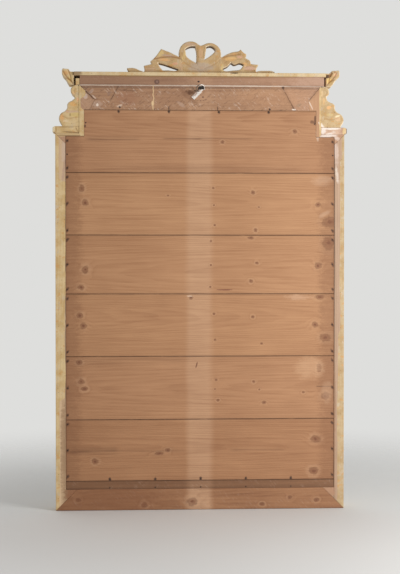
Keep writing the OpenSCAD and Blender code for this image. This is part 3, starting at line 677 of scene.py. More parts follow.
pineLook = {
    "pale": tone(190, 146, 110),
    "dark": tone(150, 104, 72),
    "knot": tone(116, 70, 44),
    "bleached": tone(212, 170, 134),
    "bleachedDark": tone(168, 126, 94),
    "grime": tone(80, 48, 28),
    "stain": tone(56, 32, 20),
    "rubbed": tone(222, 198, 180),
    "scuffs": 0,
    "marks": (),
    "heart": (0, -60, 0.02),
    "pitch": 3.4,
    "lines": 0.22,
    "fibre": 0.5,
    "cloud": 0.6,
    "knots": (),
    "streaks": (),
    "seams": (),
}
level = {node: (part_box(node)[0].z / mm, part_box(node)[1].z / mm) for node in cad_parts}
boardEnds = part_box("backboard_2")[1].x / mm
band = (3, 22, 44, 0.52)
boardLooks = {
    "backboard_1": {
        "pale": tone(188, 140, 101), "dark": tone(148, 100, 65), "heart": (1060, -70, 0.03),
        "knots": ((-255, 1025, 6, 5), (-59, 995, 5, 4.5)),
        "nailRow": (-184.5, 135, 1076.2),
        "streaks": ((235, 82, 1003, 6, 0.42), (50, 60, 1004, 2, 0.5), (-60, 90, 1005, 2, 0.4),
                    (0, 330, 925, 9, 0.14)),
        "marks": (
            ((-311, 1056, 3.5, 14), (96, 62, 40), 0.8, 0.4),
            ((-303, 1051, 7, 5, 20), (104, 68, 44), 0.7, 0.3),
            ((311, 1037, 3, 5), (84, 50, 30), 0.8, 0.4),
            ((-318, 1020, 5, 20), (222, 198, 176), 0.6, 0.3),
        ),
    },
    "backboard_2": {
        "pale": tone(192, 144, 103), "dark": tone(156, 108, 71), "heart": (828, -40, -0.02),
        "knots": ((320, 869, 7, 8), (311, 831, 8, 8), (-319, 827, 7, 7), (-350, 780, 17, 14),
                  (-34, 871, 3.6, 3), (-142, 860, 5, 5), (-36, 825, 3, 2.4), (-158, 820, 3.4, 2.4),
                  (-38, 771, 3.4, 3), (-149, 758, 4.5, 5), (88, 851, 3, 2)),
        "marks": (
            ((-330, 892, 30, 16), (222, 186, 156), 0.25, 0),
            ((-338, 802, 18, 7, -30), (222, 186, 156), 0.25, 0),
        ),
    },
    "backboard_3": {
        "pale": tone(190, 142, 102), "dark": tone(154, 106, 69), "heart": (640, -90, 0.02),
        "knots": ((311, 651, 9, 9), (-320, 661, 8, 8), (322, 603, 8, 6), (-349, 722, 15, 16),
                  (-153, 669, 4.5, 3.6), (-136, 620, 5, 4.6), (-136, 737, 8, 4), (-28, 728, 3, 3),
                  (-28, 663, 3, 2.6), (-26, 604, 3, 2.6)),
        "marks": (
            ((-64, 596, 22, 1.8), (112, 58, 40), 0.8, 0.4),
            ((-245, 745, 90, 1.3), (54, 30, 16), 0.85, 0.5),
            ((-132, 745, 26, 1.6), (78, 46, 28), 0.8, 0.4),
        ),
    },
    "backboard_4": {
        "pale": tone(190, 142, 101), "dark": tone(153, 105, 69), "heart": (520, -50, -0.03),
        "knots": ((326, 527, 8, 7), (316, 499, 8, 8), (-312, 501, 8, 7), (-341, 466, 14, 10),
                  (-325, 576, 11, 6), (26, 575, 5, 5), (-36, 531, 3.4, 3), (-142, 523, 4.4, 4),
                  (-39, 461, 3.4, 3), (-166, 450, 3.4, 3)),
        "marks": (
            ((-265, 576, 40, 9), (212, 172, 140), 0.4, 0),
            ((30, 579, 8, 2.4), (226, 196, 170), 0.6, 0.3),
        ),
    },
    "backboard_5": {
        "pale": tone(187, 139, 100), "dark": tone(150, 103, 68), "heart": (330, -75, 0.02),
        "knots": ((328, 401, 8, 6), (-323, 383, 6, 12), (323, 349, 8, 7), (313, 329, 8, 6),
                  (-280, 317, 4, 3), (-340, 306, 12, 9), (-173, 290, 5, 4), (-47, 297, 4, 3.4),
                  (-144, 347, 4, 3.6), (-42, 352, 3.4, 3), (-160, 325, 3, 2.6), (-39, 327, 2.4, 2.4)),
        "streaks": ((190, 170, 405, 8, 0.2), (-336, 24, 333, 1.5, 0.8)),
        "marks": (
            ((11, 392, 2, 9, 15), (104, 62, 40), 0.8, 0.3),
            ((-295, 384, 44, 34), (212, 170, 132), 0.35, 0),
            ((-344, 318, 16, 34), (214, 176, 142), 0.22, 0),
        ),
    },
    "backboard_6": {
        "pale": tone(180, 132, 93), "dark": tone(142, 95, 61), "heart": (170, -45, -0.02),
        "knots": ((-314, 190, 12, 9), (88.5, 162, 6, 5), (112, 153, 12, 4), (285, 133, 8, 7),
                  (-308, 102, 12, 10)),
        "nailRow": (0, 123, 84),
        "streaks": ((290, 75, 161, 9, 0.4), (-155, 82, 160, 4, 0.4), (150, 120, 160, 3, 0.25)),
    },
}
nailEdge, nailEnd = 12, 4.5         # how far the end nails stand in from a board's edges, and from its ends
endPlace, endSize = 362, (44, 400)  # the darker ends of the boards: how far out, and half width and height
for seed, (node, look) in enumerate(boardLooks.items()):
    low, high = level[node]
    middle = (low + high) / 2
    nailHeights = (low + nailEdge, middle, high - nailEdge)
    ends = [((side * endPlace, middle, *endSize), (120, 76, 46), 0.42, 0) for side in (-1, 1)]
    whole = {
        **pineLook, **look, "seed": seed * 1.7, "band": band, "marks": (*ends, *look.get("marks", ())),
        "nails": [(boardEnds - nailEnd, height) for height in nailHeights],
        "seams": ((0, 1, low, 0.8, 0.7), (0, 1, high, 0.8, 0.7),
                  (1, 0, boardEnds, 1.4, 0.7), (-1, 0, boardEnds, 1.4, 0.7)),
    }
    s, _, colour, relief = pineSurface(node, whole)
    name = node.replace("backboard", "back_board")
    wornCopy(name, [node], finishPine(s, colour, relief), 0.4)
print("boards made")

timberLook = {
    **pineLook,
    "pale": tone(181, 138, 104),
    "dark": tone(140, 99, 71),
}
scarf = (0.8779, 0.4789, 742.4, 1.2, 0.7)
rightScarf = (-0.8779, 0.4789, 742.4, 1.4, 1)
mitre = (0.6897, -0.7241, -605.1, 1.6, 1, 1107)
rightMitre = (0.7619, 0.6476, 493.7, 1.2, 0.7, 1107)
returnCut = (0.894, 0.447, 749.6, 1, 0.5)

railLooks = {
    "top_rail": {"heart": (1120, -30, 0.01), "seed": 20, "scuffs": 0.6,
                 "joints": ((*scarf, 1106), rightScarf)},
    "left_rail_block": {"heart": (1090, -30, 0.01), "seed": 21, "scuffs": 0.6,
                        "joints": ((*scarf, 1106), mitre)},
    "right_rail_block": {"pale": tone(190, 147, 115), "dark": tone(160, 117, 88), "heart": (1100, -40, 0.02),
                         "seed": 22, "scuffs": 0.45, "joints": (rightScarf, rightMitre)},
    "bottom_rail": {"pale": tone(168, 121, 84), "dark": tone(127, 82, 51), "heart": (20, -40, 0.02),
                    "seed": 23, "scuffs": 0.12,
                    "knots": ((152, 14, 8, 7), (24, 22, 13, 10), (331, 28, 7, 5),
                              (-167, 13, 6, 5), (-243, 31, 6, 5), (-317, 23, 7, 5)),
                    "band": (*band[:3], 0.7),
                    "marks": (((240, 28, 170, 50), (120, 70, 38), 0.4, 0.1),)},
    "back_strip": {"pale": tone(139, 98, 66), "dark": tone(96, 61, 37), "heart": (70, -20, 0),
                   "seed": 24, "scuffs": 0.12},
    "cornice_board": {"pale": tone(178, 137, 107), "dark": tone(138, 98, 73), "heart": (1150, -60, 0.01),
                      "seed": 25, "scuffs": 0.22},
}
railMarks = (
    # glue and gesso smears by the left joint, with a painted highlight along the mitre's lower end, then the
    # greyed, reddened and streaked parts of the rail
    ((294, 1130, 9, 5, -40), (214, 190, 176), 0.3, 0),
    ((287, 1115, 9, 2, 43), (230, 204, 184), 0.6, 0.4),
    ((278, 1096, 15, 12), (206, 178, 160), 0.3, 0),
    ((278, 1094, 3.6, 4.6), (240, 222, 204), 0.8, 0.1),
    ((231, 1131, 12, 2.4, 60), (218, 192, 172), 0.35, 0.1),
    ((246, 1125, 5, 9, 30), (126, 108, 104), 0.3, 0),
    ((199, 1112, 36, 22), (150, 98, 72), 0.35, 0.1),
    ((198, 1133, 32, 2.4, 2), (104, 70, 48), 0.5, 0.3),
    ((218, 1091.5, 9, 3.5, -15), (226, 200, 178), 0.6, 0.3),
    # painted shade over the left half and painted light on the right ends of the cornice board and the rail,
    # and a darker ochre line just under the plate
    ((215, 1160, 190, 24), (128, 92, 66), 0.35, 0.2),
    ((-240, 1162, 120, 14), (196, 152, 122), 0.3, 0),
    ((-195, 1115, 100, 36), (204, 154, 114), 0.3, 0),
    ((-310, 1161, 80, 20), (204, 168, 146), 0.4, 0),
    ((20, 1172.5, 330, 3), (150, 114, 62), 0.6, 0.2),
    # nail holes
    ((218, 1088, 3, 2.6), (50, 30, 20), 0.9, 0.5),
    ((86, 1086, 1.6, 5), (60, 36, 22), 0.8, 0.4),
    ((-46, 1086, 1.6, 5), (70, 44, 28), 0.7, 0.4),
    ((-187, 1084.5, 2.9, 2.9), (50, 22, 14), 0.9, 0.5),
    # the right joint: its knot, the grey below it and a gesso corner
    ((-224, 1143, 3.4, 3.2), (70, 40, 24), 0.85, 0.5),
    ((-266, 1096, 9, 5, -30), (140, 116, 90), 0.4, 0.2),
    ((-252, 1084, 6, 2.2), (242, 224, 208), 0.8, 0.4),
    # the knot and the hole in the cornice board
    ((118.3, 1156.4, 6.8, 6.2), (88, 60, 52), 0.75, 0.5),
    ((117.3, 1157, 2.8, 3.2), (150, 116, 100), 0.7, 0.4),
    ((5.7, 1158.3, 3.3, 2.4), (36, 10, 2), 0.96, 0.6),
    # rust beside the strap, a painted shadow inside the ring (a dark spot on the rail that stays when the
    # ring turns), and old screw holes
    ((34, 1120, 40, 10, 45), (112, 72, 46), 0.42, 0.1),
    ((28, 1129, 13, 7.5, 12), (80, 42, 10), 0.85, 0),
    ((16, 1133, 4, 5, 30), (90, 60, 40), 0.7, 0.2),
    ((54, 1097, 14, 5, 35), (206, 178, 160), 0.3, 0),
    ((-1.1, 1140.3, 10.6, 5.4, -14), (14, 10, 6), 0.97, 0.75),
    ((-6.2, 1116.3, 2.6, 2.2), (104, 70, 50), 0.85, 0.5),
    ((0, 1106.5, 2, 1.8), (116, 80, 60), 0.7, 0.4),
    ((-7.3, 1107, 1.8, 1.6), (124, 88, 68), 0.6, 0.4),
    ((-14, 1110.2, 1.8, 2), (124, 88, 68), 0.6, 0.4),
)
gessoLook = {
    "gesso": tone(226, 206, 188),
    "glue": tone(224, 190, 144),
    "arris": (level["top_rail"][1], 1.7),       # the rail's upper edge, and how far the gesso spreads
    "thin": (-245, -215, 0.5),                  # from x to x, and the share that stays to the right of them
    "foot": (level["top_rail"][0] + 2.2, 1.3),  # its lower edge, where a little was left
    # a line of painted shadow under the arris: its z, how far it spreads and its share; its tone is on the
    # next line
    "under": (level["top_rail"][1] - 5.5, 3.4, 0.45),
    "dirtAndShade": tone(92, 68, 54),
    "glueLine": 127.5,                          # its x, and the z where it ends
    "glueTop": 1147,
    "glueDrop": (130, 1099, 3, 8),
}


def gessoOver(s, place, colour, look):
    # Gesso left by the gilder: along the arris z = c while |z - c| is under a noisy width, and a line of glue
    # whose place wanders by slow noise; under the arris a line of painted shadow
    point, x, y, z = place
    ragged = s.noise(point, (30, 4, 3), detail=4, rough=0.7, shift=50)
    fine = s.noise(point, 5, detail=4, rough=0.7, shift=51)
    # painted shadow under the arris
    height, spread, share = look["under"]
    under = (abs(z - height) / spread + ragged * 1.6).rise(2.2, 1)
    colour = s.mix(under * share, colour, look["dirtAndShade"])
    height, spread = look["arris"]
    start, end, least = look["thin"]
    kept = x.rise(start, end) * (1 - least) + least
    arris = (abs(z - height) / spread + ragged * 1.4).rise(2.1, 1.3) * kept
    height, spread = look["foot"]
    foot = (abs(z - height) / spread + ragged * 2).rise(2.1, 1.4) * 0.6
    colour = s.mix(arris.most(foot), colour, look["gesso"])
    wander = s.noise(point, (60, 60, 14), shift=52) - 0.5
    line = (abs(x - look["glueLine"] + wander * 7) + (fine - 0.5) * 2.6).rise(1.9, 0.8) * 0.8
    drop = spot(x, z, look["glueDrop"], fine).rise(1.4, 0.9)
    line = line.most(drop) * z.rise(look["glueTop"] + 1, look["glueTop"] - 1)
    return s.mix(line, colour, look["glue"])


for node, look in railLooks.items():
    low, high = level[node]
    top = node in ("top_rail", "cornice_board", "left_rail_block", "right_rail_block")
    seams = ((0, 1, low, 1, 0.6), (0, 1, high, 1, 0.6), *look.get("joints", ()))
    whole = {**timberLook, "band": (*band[:3], 0.25), **look, "seams": seams}
    s, place, colour, relief = pineSurface(node, whole)
    if top:
        point, x, _, z = place
        colour = addMarks(s, point, x, z, gessoOver(s, place, colour, gessoLook), railMarks)
    wornCopy("worn_" + node, [node], finishPine(s, colour, relief), 0.3 if top else 0.8)

# edge: the outer edge's distance from the middle; wash: from each height on, how far the ochre comes in
# from it; worn: the rounding of the arrises
shortPine = {"pale": tone(194, 153, 121), "dark": tone(158, 118, 90), "edge": 391, "ochre": {}, "worn": 0.2}
leftPine = {
    **shortPine, "worn": 1, "pale": tone(222, 190, 152), "dark": tone(190, 156, 120),
    "seams": ((1, 0, 364, 1.2, 0.7),),
}
rightPine = {
    **shortPine, "worn": 1, "pale": tone(190, 158, 130), "dark": tone(161, 128, 103),
    "ochre": {"ochre": tone(191, 166, 127), "ochreDeep": tone(177, 146, 102)},
    "seams": ((-1, 0, 364, 1.2, 0.7),),
}
postLooks = {
    "left_stile": {
        **leftPine, "heart": (330, -60, 0.01), "seed": 30, "wash": ((0, 11), (300, 26), (890, 8)),
        "marks": (((350, 48, 18, 22), (142, 94, 62), 0.95, 0.6),
                  ((368, 160, 12, 170), (158, 124, 92), 0.8, 0),
                  ((367, 925, 5, 44, 8), (180, 144, 128), 0.5, 0),
                  ((368, 972, 7, 36, 4), (212, 184, 164), 0.55, 0)),
    },
    "right_stile": {
        **rightPine, "heart": (-330, -60, 0.01), "seed": 31, "wash": ((0, 17.5), (480, 13), (950, 8)),
        "marks": (((-350, 48, 18, 20), (172, 130, 100), 0.9, 0.6),
                  ((-361, 250, 8, 200), (162, 122, 92), 0.85, 0),
                  ((-371, 908, 4.5, 24, -6), (236, 222, 208), 0.55, 0),
                  ((-383, 890, 5, 16), (238, 224, 198), 0.5, 0),
                  ((-368, 968, 8, 40, -5), (218, 194, 180), 0.6, 0)),
    },
    "left_neck": {
        **shortPine, "heart": (300, -60, 0.01), "seed": 32, "edge": 327, "scuffs": 0.4,
        "wash": ((0, 12), (1082, 3.5), (1114, 16)), "seams": (mitre, returnCut),
        "marks": (((310, 1117, 6, 7), (214, 190, 176), 0.6, 0.3),),
    },
    "right_neck": {
        **shortPine, "pale": tone(198, 153, 116), "dark": tone(170, 126, 92), "heart": (-300, -60, 0.01),
        "seed": 33, "edge": 327, "wash": ((0, 5),), "seams": (rightMitre,),
        "marks": (((-299, 1096, 13, 1.8, 64), (232, 208, 188), 0.7, 0.3),
                  ((-327, 1040, 13, 2.6, 59), (240, 230, 218), 0.9, 0.4)),
    },
    "left_shoulder": {
        **shortPine, "heart": (340, -60, 0.01), "seed": 34, "wash": ((0, 1),),
        "marks": (((355, 1018, 60, 8.5), (206, 176, 128), 0.95, 0.8),
                  ((355, 1011.5, 40, 1.3), (120, 84, 54), 0.6, 0.5)),
    },
    "right_shoulder": {
        **shortPine, "heart": (-340, -60, 0.01), "seed": 35, "wash": ((0, 1),),
        "marks": (((-347, 1014, 28, 6, -10), (234, 222, 212), 0.75, 0),
                  ((-370, 1008, 14, 6, 40), (228, 208, 194), 0.65, 0)),
    },
}
for node, look in postLooks.items():
    whole = {**timberLook, **look, "upright": "shoulder" not in node}
    s, (point, x, y, z), colour, relief = pineSurface(node, whole)
    wander = s.noise(point, (90, 90, 150), shift=look["seed"]) - 0.5
    inside = look["edge"] - abs(x)
    width = look["wash"][0][1]
    for (_, before), (height, after) in zip(look["wash"], look["wash"][1:]):
        width = z.rise(height - 6, height + 6) * (after - before) + width
    # the wash covers all that lies in front of y = 20 too
    wash = (inside + wander * 14 - width).rise(0.8, -0.8).most(y.rise(20.5, 19.5))
    colour = s.mix(wash, colour, ochreColour(s, point, {**ochreLook, **look["ochre"]}))
    wornCopy("worn_" + node, [node], finishPine(s, colour, relief), look["worn"])
print("frame timber made")

gilt = giltSurface("gilding", goldLook)
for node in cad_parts:
    if node.startswith("moulding_"):
        wornCopy("gilt_" + node, [node], gilt, 0.4, sharp=34)

pearlLook = {
    "radius": 4.3,
    "middle": -16,                 # y
    "rings": (30, 60, 90, 114.7),  # degrees from the front; the last one is the flat seat
    "around": 8,
    "corners": ((-338, 53), (338, 53), (338, 964), (274, 964),
                (274, 1094), (-274, 1094), (-274, 964), (-338, 964)),
    "counts": (72, 97, 7, 14, 58, 14, 7, 97),
}


def pearlMesh(name, look):
    # Pearls at even steps from corner to corner. A pearl is a ball cut flat behind: at a degrees from the
    # front, a ring radius * sin(a) wide and radius * cos(a) before the middle.
    corners, around = np.array(look["corners"], float), look["around"]
    legs = [first + (second - first) * (np.arange(count) / count)[:, None]
            for first, second, count in zip(corners, np.roll(corners, -1, axis=0), look["counts"])]
    x, z = np.concatenate(legs).T
    middles = np.stack([x, np.full(len(x), look["middle"]), z], -1)
    a = np.radians(look["rings"])[:, None]
    turn = np.arange(around) / around * 2 * np.pi
    rings = np.stack([np.sin(a) * np.cos(turn), -np.cos(a) + 0 * turn, np.sin(a) * np.sin(turn)], -1)
    ball = np.concatenate([[[0, -1, 0]], rings.reshape(-1, 3)]) * look["radius"]
    points = (middles[:, None] + ball).reshape(-1, 3)
    first = 1 + np.arange(around)
    tip = np.stack([0 * first, np.roll(first, -1), first], -1)
    seat = (len(ball) - around + np.arange(around))[None]
    start = np.arange(len(x))[:, None, None] * len(ball)
    groups = [(start + faces).reshape(-1, faces.shape[1])
              for faces in (tip, gridFaces(len(look["rings"]), around, wrap=True) + 1, seat)]
    return newMesh(name, points, groups)


pearlNodes = [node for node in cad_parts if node.startswith("pearls_")]
addPiece("gilt_pearls", pearlMesh("gilt_pearls", pearlLook), pearlNodes, gilt, 60)
print("gilding made")

carvedLook = {**ochreLook, "leafLine": -27}
corniceLook = {
    **carvedLook, "ochre": tone(218, 194, 152), "ochreDeep": tone(204, 174, 126),
    "marks": (((-92, 1181.8, 10.5, 1.5), (66, 42, 18), 0.85, 0.5),
              ((333, 1179, 13, 9), (146, 116, 80), 0.8, 0.2)),
}
leftLedgeLook = {
    **carvedLook,
    "marks": (((395, 1029, 3.6, 9), (232, 216, 180), 0.75, 0.4),
              ((388.5, 1027, 1.6, 10), (158, 124, 70), 0.6, 0.4),
              ((346, 1020, 26, 1.6, 4), (122, 88, 54), 0.7, 0.4),
              ((362, 1033.5, 22, 1.4), (150, 112, 66), 0.5, 0.4),
              ((333, 1027, 8, 1.4, 62), (140, 104, 62), 0.55, 0.4)),
}
rightLedgeLook = {
    **carvedLook, "ochre": tone(206, 172, 146), "ochreDeep": tone(182, 144, 118), "orangeShare": 0.15,
    "gesso": tone(226, 214, 200), "gessoShare": 0.75,
    "marks": (((-352, 1033, 34, 3.4), (240, 230, 218), 0.85, 0.1),
              ((-363, 1024, 7, 4, 20), (228, 218, 208), 0.4, 0),
              ((-333, 1026, 8, 9, 30), (238, 228, 218), 0.75, 0),
              ((-350, 1019, 12, 3.4, -12), (236, 226, 216), 0.65, 0),
              ((-391, 1024, 5, 14), (216, 186, 130), 0.75, 0.4),
              # painted shadow on the ledge's far end
              ((-398, 1024, 2, 14), (92, 72, 56), 0.85, 0.5)),
}
for node, look in (("cornice_moulding", corniceLook), ("cornice_end_block", carvedLook),
                   ("left_ledge", leftLedgeLook), ("right_ledge", rightLedgeLook)):
    wornCopy("worn_" + node, [node], carvedSurface(node, look), 1)


def mirrored(creases):
    return [([(-x, z) for x, z in line], *depths) for line, *depths in creases]


# creases: the line's (x, z), its width, its depth behind and in front
scrollCreases = [
    ([(333, 1079), (350, 1076.5), (366, 1080)], 1.8, 0.6, 3),
    ([(336, 1061), (355, 1057.5), (372, 1063)], 1.8, 1, 3),
    ([(333, 1047), (355, 1043), (376, 1046)], 1.6, 0.5, 2.4),
    ([(332, 1101), (338, 1097), (347, 1099)], 1.8, 0.5, 3),
    ([(330, 1122), (338, 1123), (342, 1130), (339, 1137), (333, 1138)], 1.6, 0.7, 2.6),
]
earCreases = [
    ([(344, 1152), (354, 1163), (364, 1174), (371, 1186)], 2, 1.6, 3),
    ([(353, 1162), (362, 1166), (370, 1168)], 1.8, 1.3, 2.4),
    ([(349, 1159), (351, 1172), (357, 1188)], 1.8, 1.5, 2.4),
]
bowCreases = [
    ([(55, 1224), (42, 1210.5), (24, 1199), (7, 1193)], 1.8, 0.9, 3),
    ([(-59, 1228), (-46, 1213.5), (-28, 1203), (-11, 1196)], 1.8, 0.9, 3),
    ([(9, 1252), (8, 1230), (9, 1206)], 1.5, 0.8, 2),
    ([(-9.5, 1252), (-8, 1236), (-9, 1218)], 1.5, 0.8, 2),
    ([(47, 1250), (51, 1236), (46, 1222)], 1.4, 0.5, 2),
    ([(-52, 1252), (-54, 1240), (-49, 1226)], 1.4, 0.5, 2),
]
leftRibbonCreases = [
    ([(126, 1221), (106, 1225), (86, 1227), (65, 1225), (53, 1221)], 1.8, 1.8, 3),
    ([(131, 1214), (112, 1217), (88, 1214), (66, 1205), (55, 1196)], 1.4, 0.7, 2),
    ([(151, 1199), (132, 1198), (118, 1196)], 1.4, 1, 2),
    ([(148, 1190), (130, 1191), (112, 1188)], 1.4, 0.9, 2),
]
rightRibbonCreases = [
    ([(-60, 1226), (-76, 1231), (-92, 1233), (-108, 1236)], 1.8, 1.4, 3),
    ([(-64, 1212), (-78, 1220), (-96, 1221), (-116, 1222), (-128, 1216)], 1.4, 0.8, 2),
    ([(-121, 1200), (-134, 1204), (-150, 1202)], 1.4, 1, 2),
    ([(-119, 1192), (-134, 1193), (-149, 1190)], 1.4, 1, 2),
]
# in millimetres: the grid, the edge's radius, the y of both faces, the front's dome (fall, reach), the
# undercut and how far up it spreads; and the walls' rows of faces
crestLook = {"cell": 1.4, "round": 2.4, "back": 4, "front": -22, "dome": (7, 14), "undercut": 2.2,
             "spread": 8, "walls": 3}
earLook = {"back": 14, "front": -32, "dome": (9, 12), "undercut": 1.4}
scrollLook = {"back": 21, "front": -24, "round": 3, "dome": (8, 14), "undercut": 0}
carvings = {
    "crest_bow": {"creases": bowCreases},
    "crest_left_ribbon": {"front": -16, "creases": leftRibbonCreases},
    "crest_right_ribbon": {"front": -16, "creases": rightRibbonCreases},
    "crest_left_leaf": {"front": -10, "dome": (4, 8)},
    "crest_right_leaf": {"front": -10, "dome": (4, 8)},
    "left_ear": {**earLook, "creases": earCreases},
    "right_ear": {**earLook, "creases": mirrored(earCreases)},
    "left_scroll": {**scrollLook, "creases": scrollCreases},
    "right_scroll": {**scrollLook, "creases": mirrored(scrollCreases)},
}
crestMarks = (
    ((-1.4, 1199, 40, 14), (180, 164, 150), 0.6, 0.1),
    ((-1, 1238, 6, 16), (220, 176, 140), 0.4, 0.2),
    ((28, 1261, 18, 5, 6), (192, 162, 142), 0.5, 0.2),
    ((44, 1228, 5, 16, 20), (222, 190, 122), 0.5, 0.2),
    ((52, 1200, 6, 13), (206, 168, 138), 0.4, 0.2),
    ((98, 1219, 16, 5, 5), (230, 172, 110), 0.6, 0.2),
    ((68, 1208, 8, 4), (226, 162, 132), 0.6, 0.2),
    ((108, 1237, 10, 9), (226, 196, 122), 0.5, 0.2),
    ((86, 1229.5, 22, 3, 8), (180, 152, 140), 0.55, 0.2),
    ((136, 1192, 16, 8), (198, 168, 140), 0.5, 0.2),
    ((-82, 1222, 16, 6, -8), (232, 184, 118), 0.55, 0.2),
    ((-107, 1228, 9, 4, 8), (224, 172, 150), 0.5, 0.2),
    ((-122, 1208, 7, 6), (230, 178, 116), 0.5, 0.2),
    ((-136, 1198, 18, 7), (220, 176, 160), 0.5, 0.2),
    ((-60, 1196, 5, 12), (226, 204, 140), 0.5, 0.2),
)
leftMarks = (
    ((344, 1095, 10, 6, 10), (226, 170, 100), 0.7, 0.2),
    ((373, 1060, 6, 10), (224, 164, 100), 0.7, 0.2),
    ((330.5, 1107, 4, 7), (230, 166, 118), 0.6, 0.2),
    ((342, 1075, 16, 3.5), (204, 170, 150), 0.55, 0.2),
    ((364, 1078, 10, 3, 25), (216, 178, 158), 0.5, 0.2),
    ((338, 1067, 16, 7), (212, 184, 112), 0.55, 0.2),
    ((337, 1133, 4, 8), (190, 146, 90), 0.5, 0.2),
    ((343, 1124, 5, 6), (230, 184, 132), 0.5, 0.2),
    ((351, 1067, 1.2, 4), (116, 86, 46), 0.7, 0.6),
    ((362, 1050, 8, 3), (232, 206, 168), 0.55, 0.3),
    ((363, 1180, 7, 7), (218, 158, 92), 0.6, 0.2),
    ((352, 1163, 6, 8), (214, 186, 104), 0.5, 0.2),
)
rightMarks = (
    ((-349, 1090, 7, 5), (240, 182, 122), 0.7, 0.2),
    ((-335, 1107, 4, 9), (240, 190, 130), 0.5, 0.2),
    ((-373, 1060, 8, 7), (232, 190, 150), 0.5, 0.2),
    ((-372, 1067, 7, 2.8, -15), (248, 230, 190), 0.7, 0.3),
    ((-352, 1071, 10, 5), (214, 188, 128), 0.5, 0.2),
    ((-330, 1128, 4, 9), (238, 206, 158), 0.5, 0.2),
    ((-331, 1040, 12, 4, 59), (240, 230, 218), 0.8, 0.1),
    ((-350, 1163, 9, 9), (236, 198, 110), 0.6, 0.2),
    ((-368, 1180, 7, 4, -30), (236, 182, 146), 0.6, 0.2),
    # painted shadow on the ear's top left, where it meets the cornice
    ((-347, 1175.5, 10, 4.4, -10), (76, 44, 12), 0.95, 0.5),
    ((-355, 1181, 8, 4, -40), (126, 82, 34), 0.8, 0.3),
    ((-366, 1187, 4, 2.4), (150, 92, 54), 0.7, 0.4),
)
paintLooks = {
    # the crest's walls that face down get painted shade
    "crest": {"ochre": tone(198, 168, 124), "ochreDeep": tone(182, 146, 98), "marks": crestMarks,
              "paintedShadeShare": 0.85},
    "left": {"marks": leftMarks},
    "right": {"ochre": tone(200, 172, 129), "ochreDeep": tone(184, 151, 103), "marks": rightMarks},
}
paints = {side: carvedSurface(side + "_carving", {**carvedLook, **look}) for side, look in paintLooks.items()}
# where carvings meet the frame and what they stand on: |x|, and z at the feet of the scrolls and of the crest
joinedLines = ((0, 327), (1, level["left_scroll"][0]), (1, level["crest_bow"][0]))
outlines = {}
for node in carvings:
    low, high = (np.array(corner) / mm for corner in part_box(node))
    outlines[node] = [np.clip(softLine(loop), low[[0, 2]], high[[0, 2]]) for loop in outlineOf(node)]
for node, look in carvings.items():
    others = [loop for other, loops in outlines.items() if other != node for loop in loops]
    mesh = carve("carved_" + node, {**crestLook, **look}, outlines[node], others)
    addPiece("carved_" + node, mesh, [node], paints[node.split("_")[0]], 38)
print("carvings made")


def metalSurface(name, look):
    # Worn metal: bright and dull tones mixed by noise, and the dull tone as painted shade too on the side
    # where nx x + nz z - c is over 0 and z is over the foot, leaving the other side bright; rough where dull
    # or shaded
    s = Surface(name)
    point, x, _, z = s.place()
    ragged = s.noise(point, 4, detail=4, shift=13)
    dullAndShaded = ragged.rise(0.42, 0.62) * look["dullShare"]
    # painted shade over one side, so that only the other side shows bright
    if look["side"]:
        nx, nz, c, spread = look["side"]
        inside = (x * nx + z * nz - c + (ragged - 0.5) * 2).rise(-spread, spread)
        dullAndShaded = dullAndShaded.most(inside * z.rise(look["foot"] - 2, look["foot"] + 2))
    rust = s.noise(point, 1.6, detail=4, shift=14).rise(0.56, 0.66)
    colour = s.mix(dullAndShaded, look["bright"], look["dullAndShaded"])
    colour = s.mix(rust * look["rustShare"], colour, look["rust"])
    return s.finish(height=dullAndShaded + rust * 0.5, depth=0.1, Base_Color=colour, Metallic=look["metallic"],
                    Roughness=look["rough"] + dullAndShaded * 0.15)


zincLook = {"bright": tone(240, 234, 226), "dullAndShaded": tone(186, 166, 152), "rust": tone(150, 112, 88),
            "rustShare": 0.4, "metallic": 0.45, "rough": 0.34, "dullShare": 0.5, "side": ()}
# side: the part of the strap and of the ring given painted shade, as nx, nz, c and the spread of its edge;
# foot: the z it starts above
strapLook = {**zincLook, "dullAndShaded": tone(186, 162, 148), "dullShare": 0.2,
             "side": (0.7071, 0.7071, 801.5, 0.9), "foot": 1117}
ringLook = {**zincLook, "dullAndShaded": tone(116, 102, 90), "side": (1, 0, 2, 4), "foot": 1000}
ironLook = {"bright": tone(84, 62, 48), "dullAndShaded": tone(50, 34, 26), "rust": tone(96, 56, 34), "rustShare": 0.6,
            "metallic": 0.1, "rough": 0.75, "dullShare": 1, "side": ()}
zinc, iron = metalSurface("zinc", zincLook), metalSurface("iron", ironLook)
wornCopy("strap", ["hanger_strap"], metalSurface("strap_zinc", strapLook), 0.25)
wornCopy("strap_screws", ["hanger_screws"], zinc, 0.2)
wornCopy("ring", ["hanger_ring"], metalSurface("ring_zinc", ringLook), 0, body="ring")
wornCopy("nails_in_boards", ["board_nails"], iron, 0.2)
wornCopy("nails_in_strip", ["strip_nails"], iron, 0.2)


glassLook = {
    "silver": (0.88, 0.90, 0.89, 1),
    "foxing": tone(112, 100, 86),
    "half": (326, 262),         # half the width in sight, below and above the shoulders
    "levels": (65, 952, 1082),  # its foot, the shoulders and its head
}


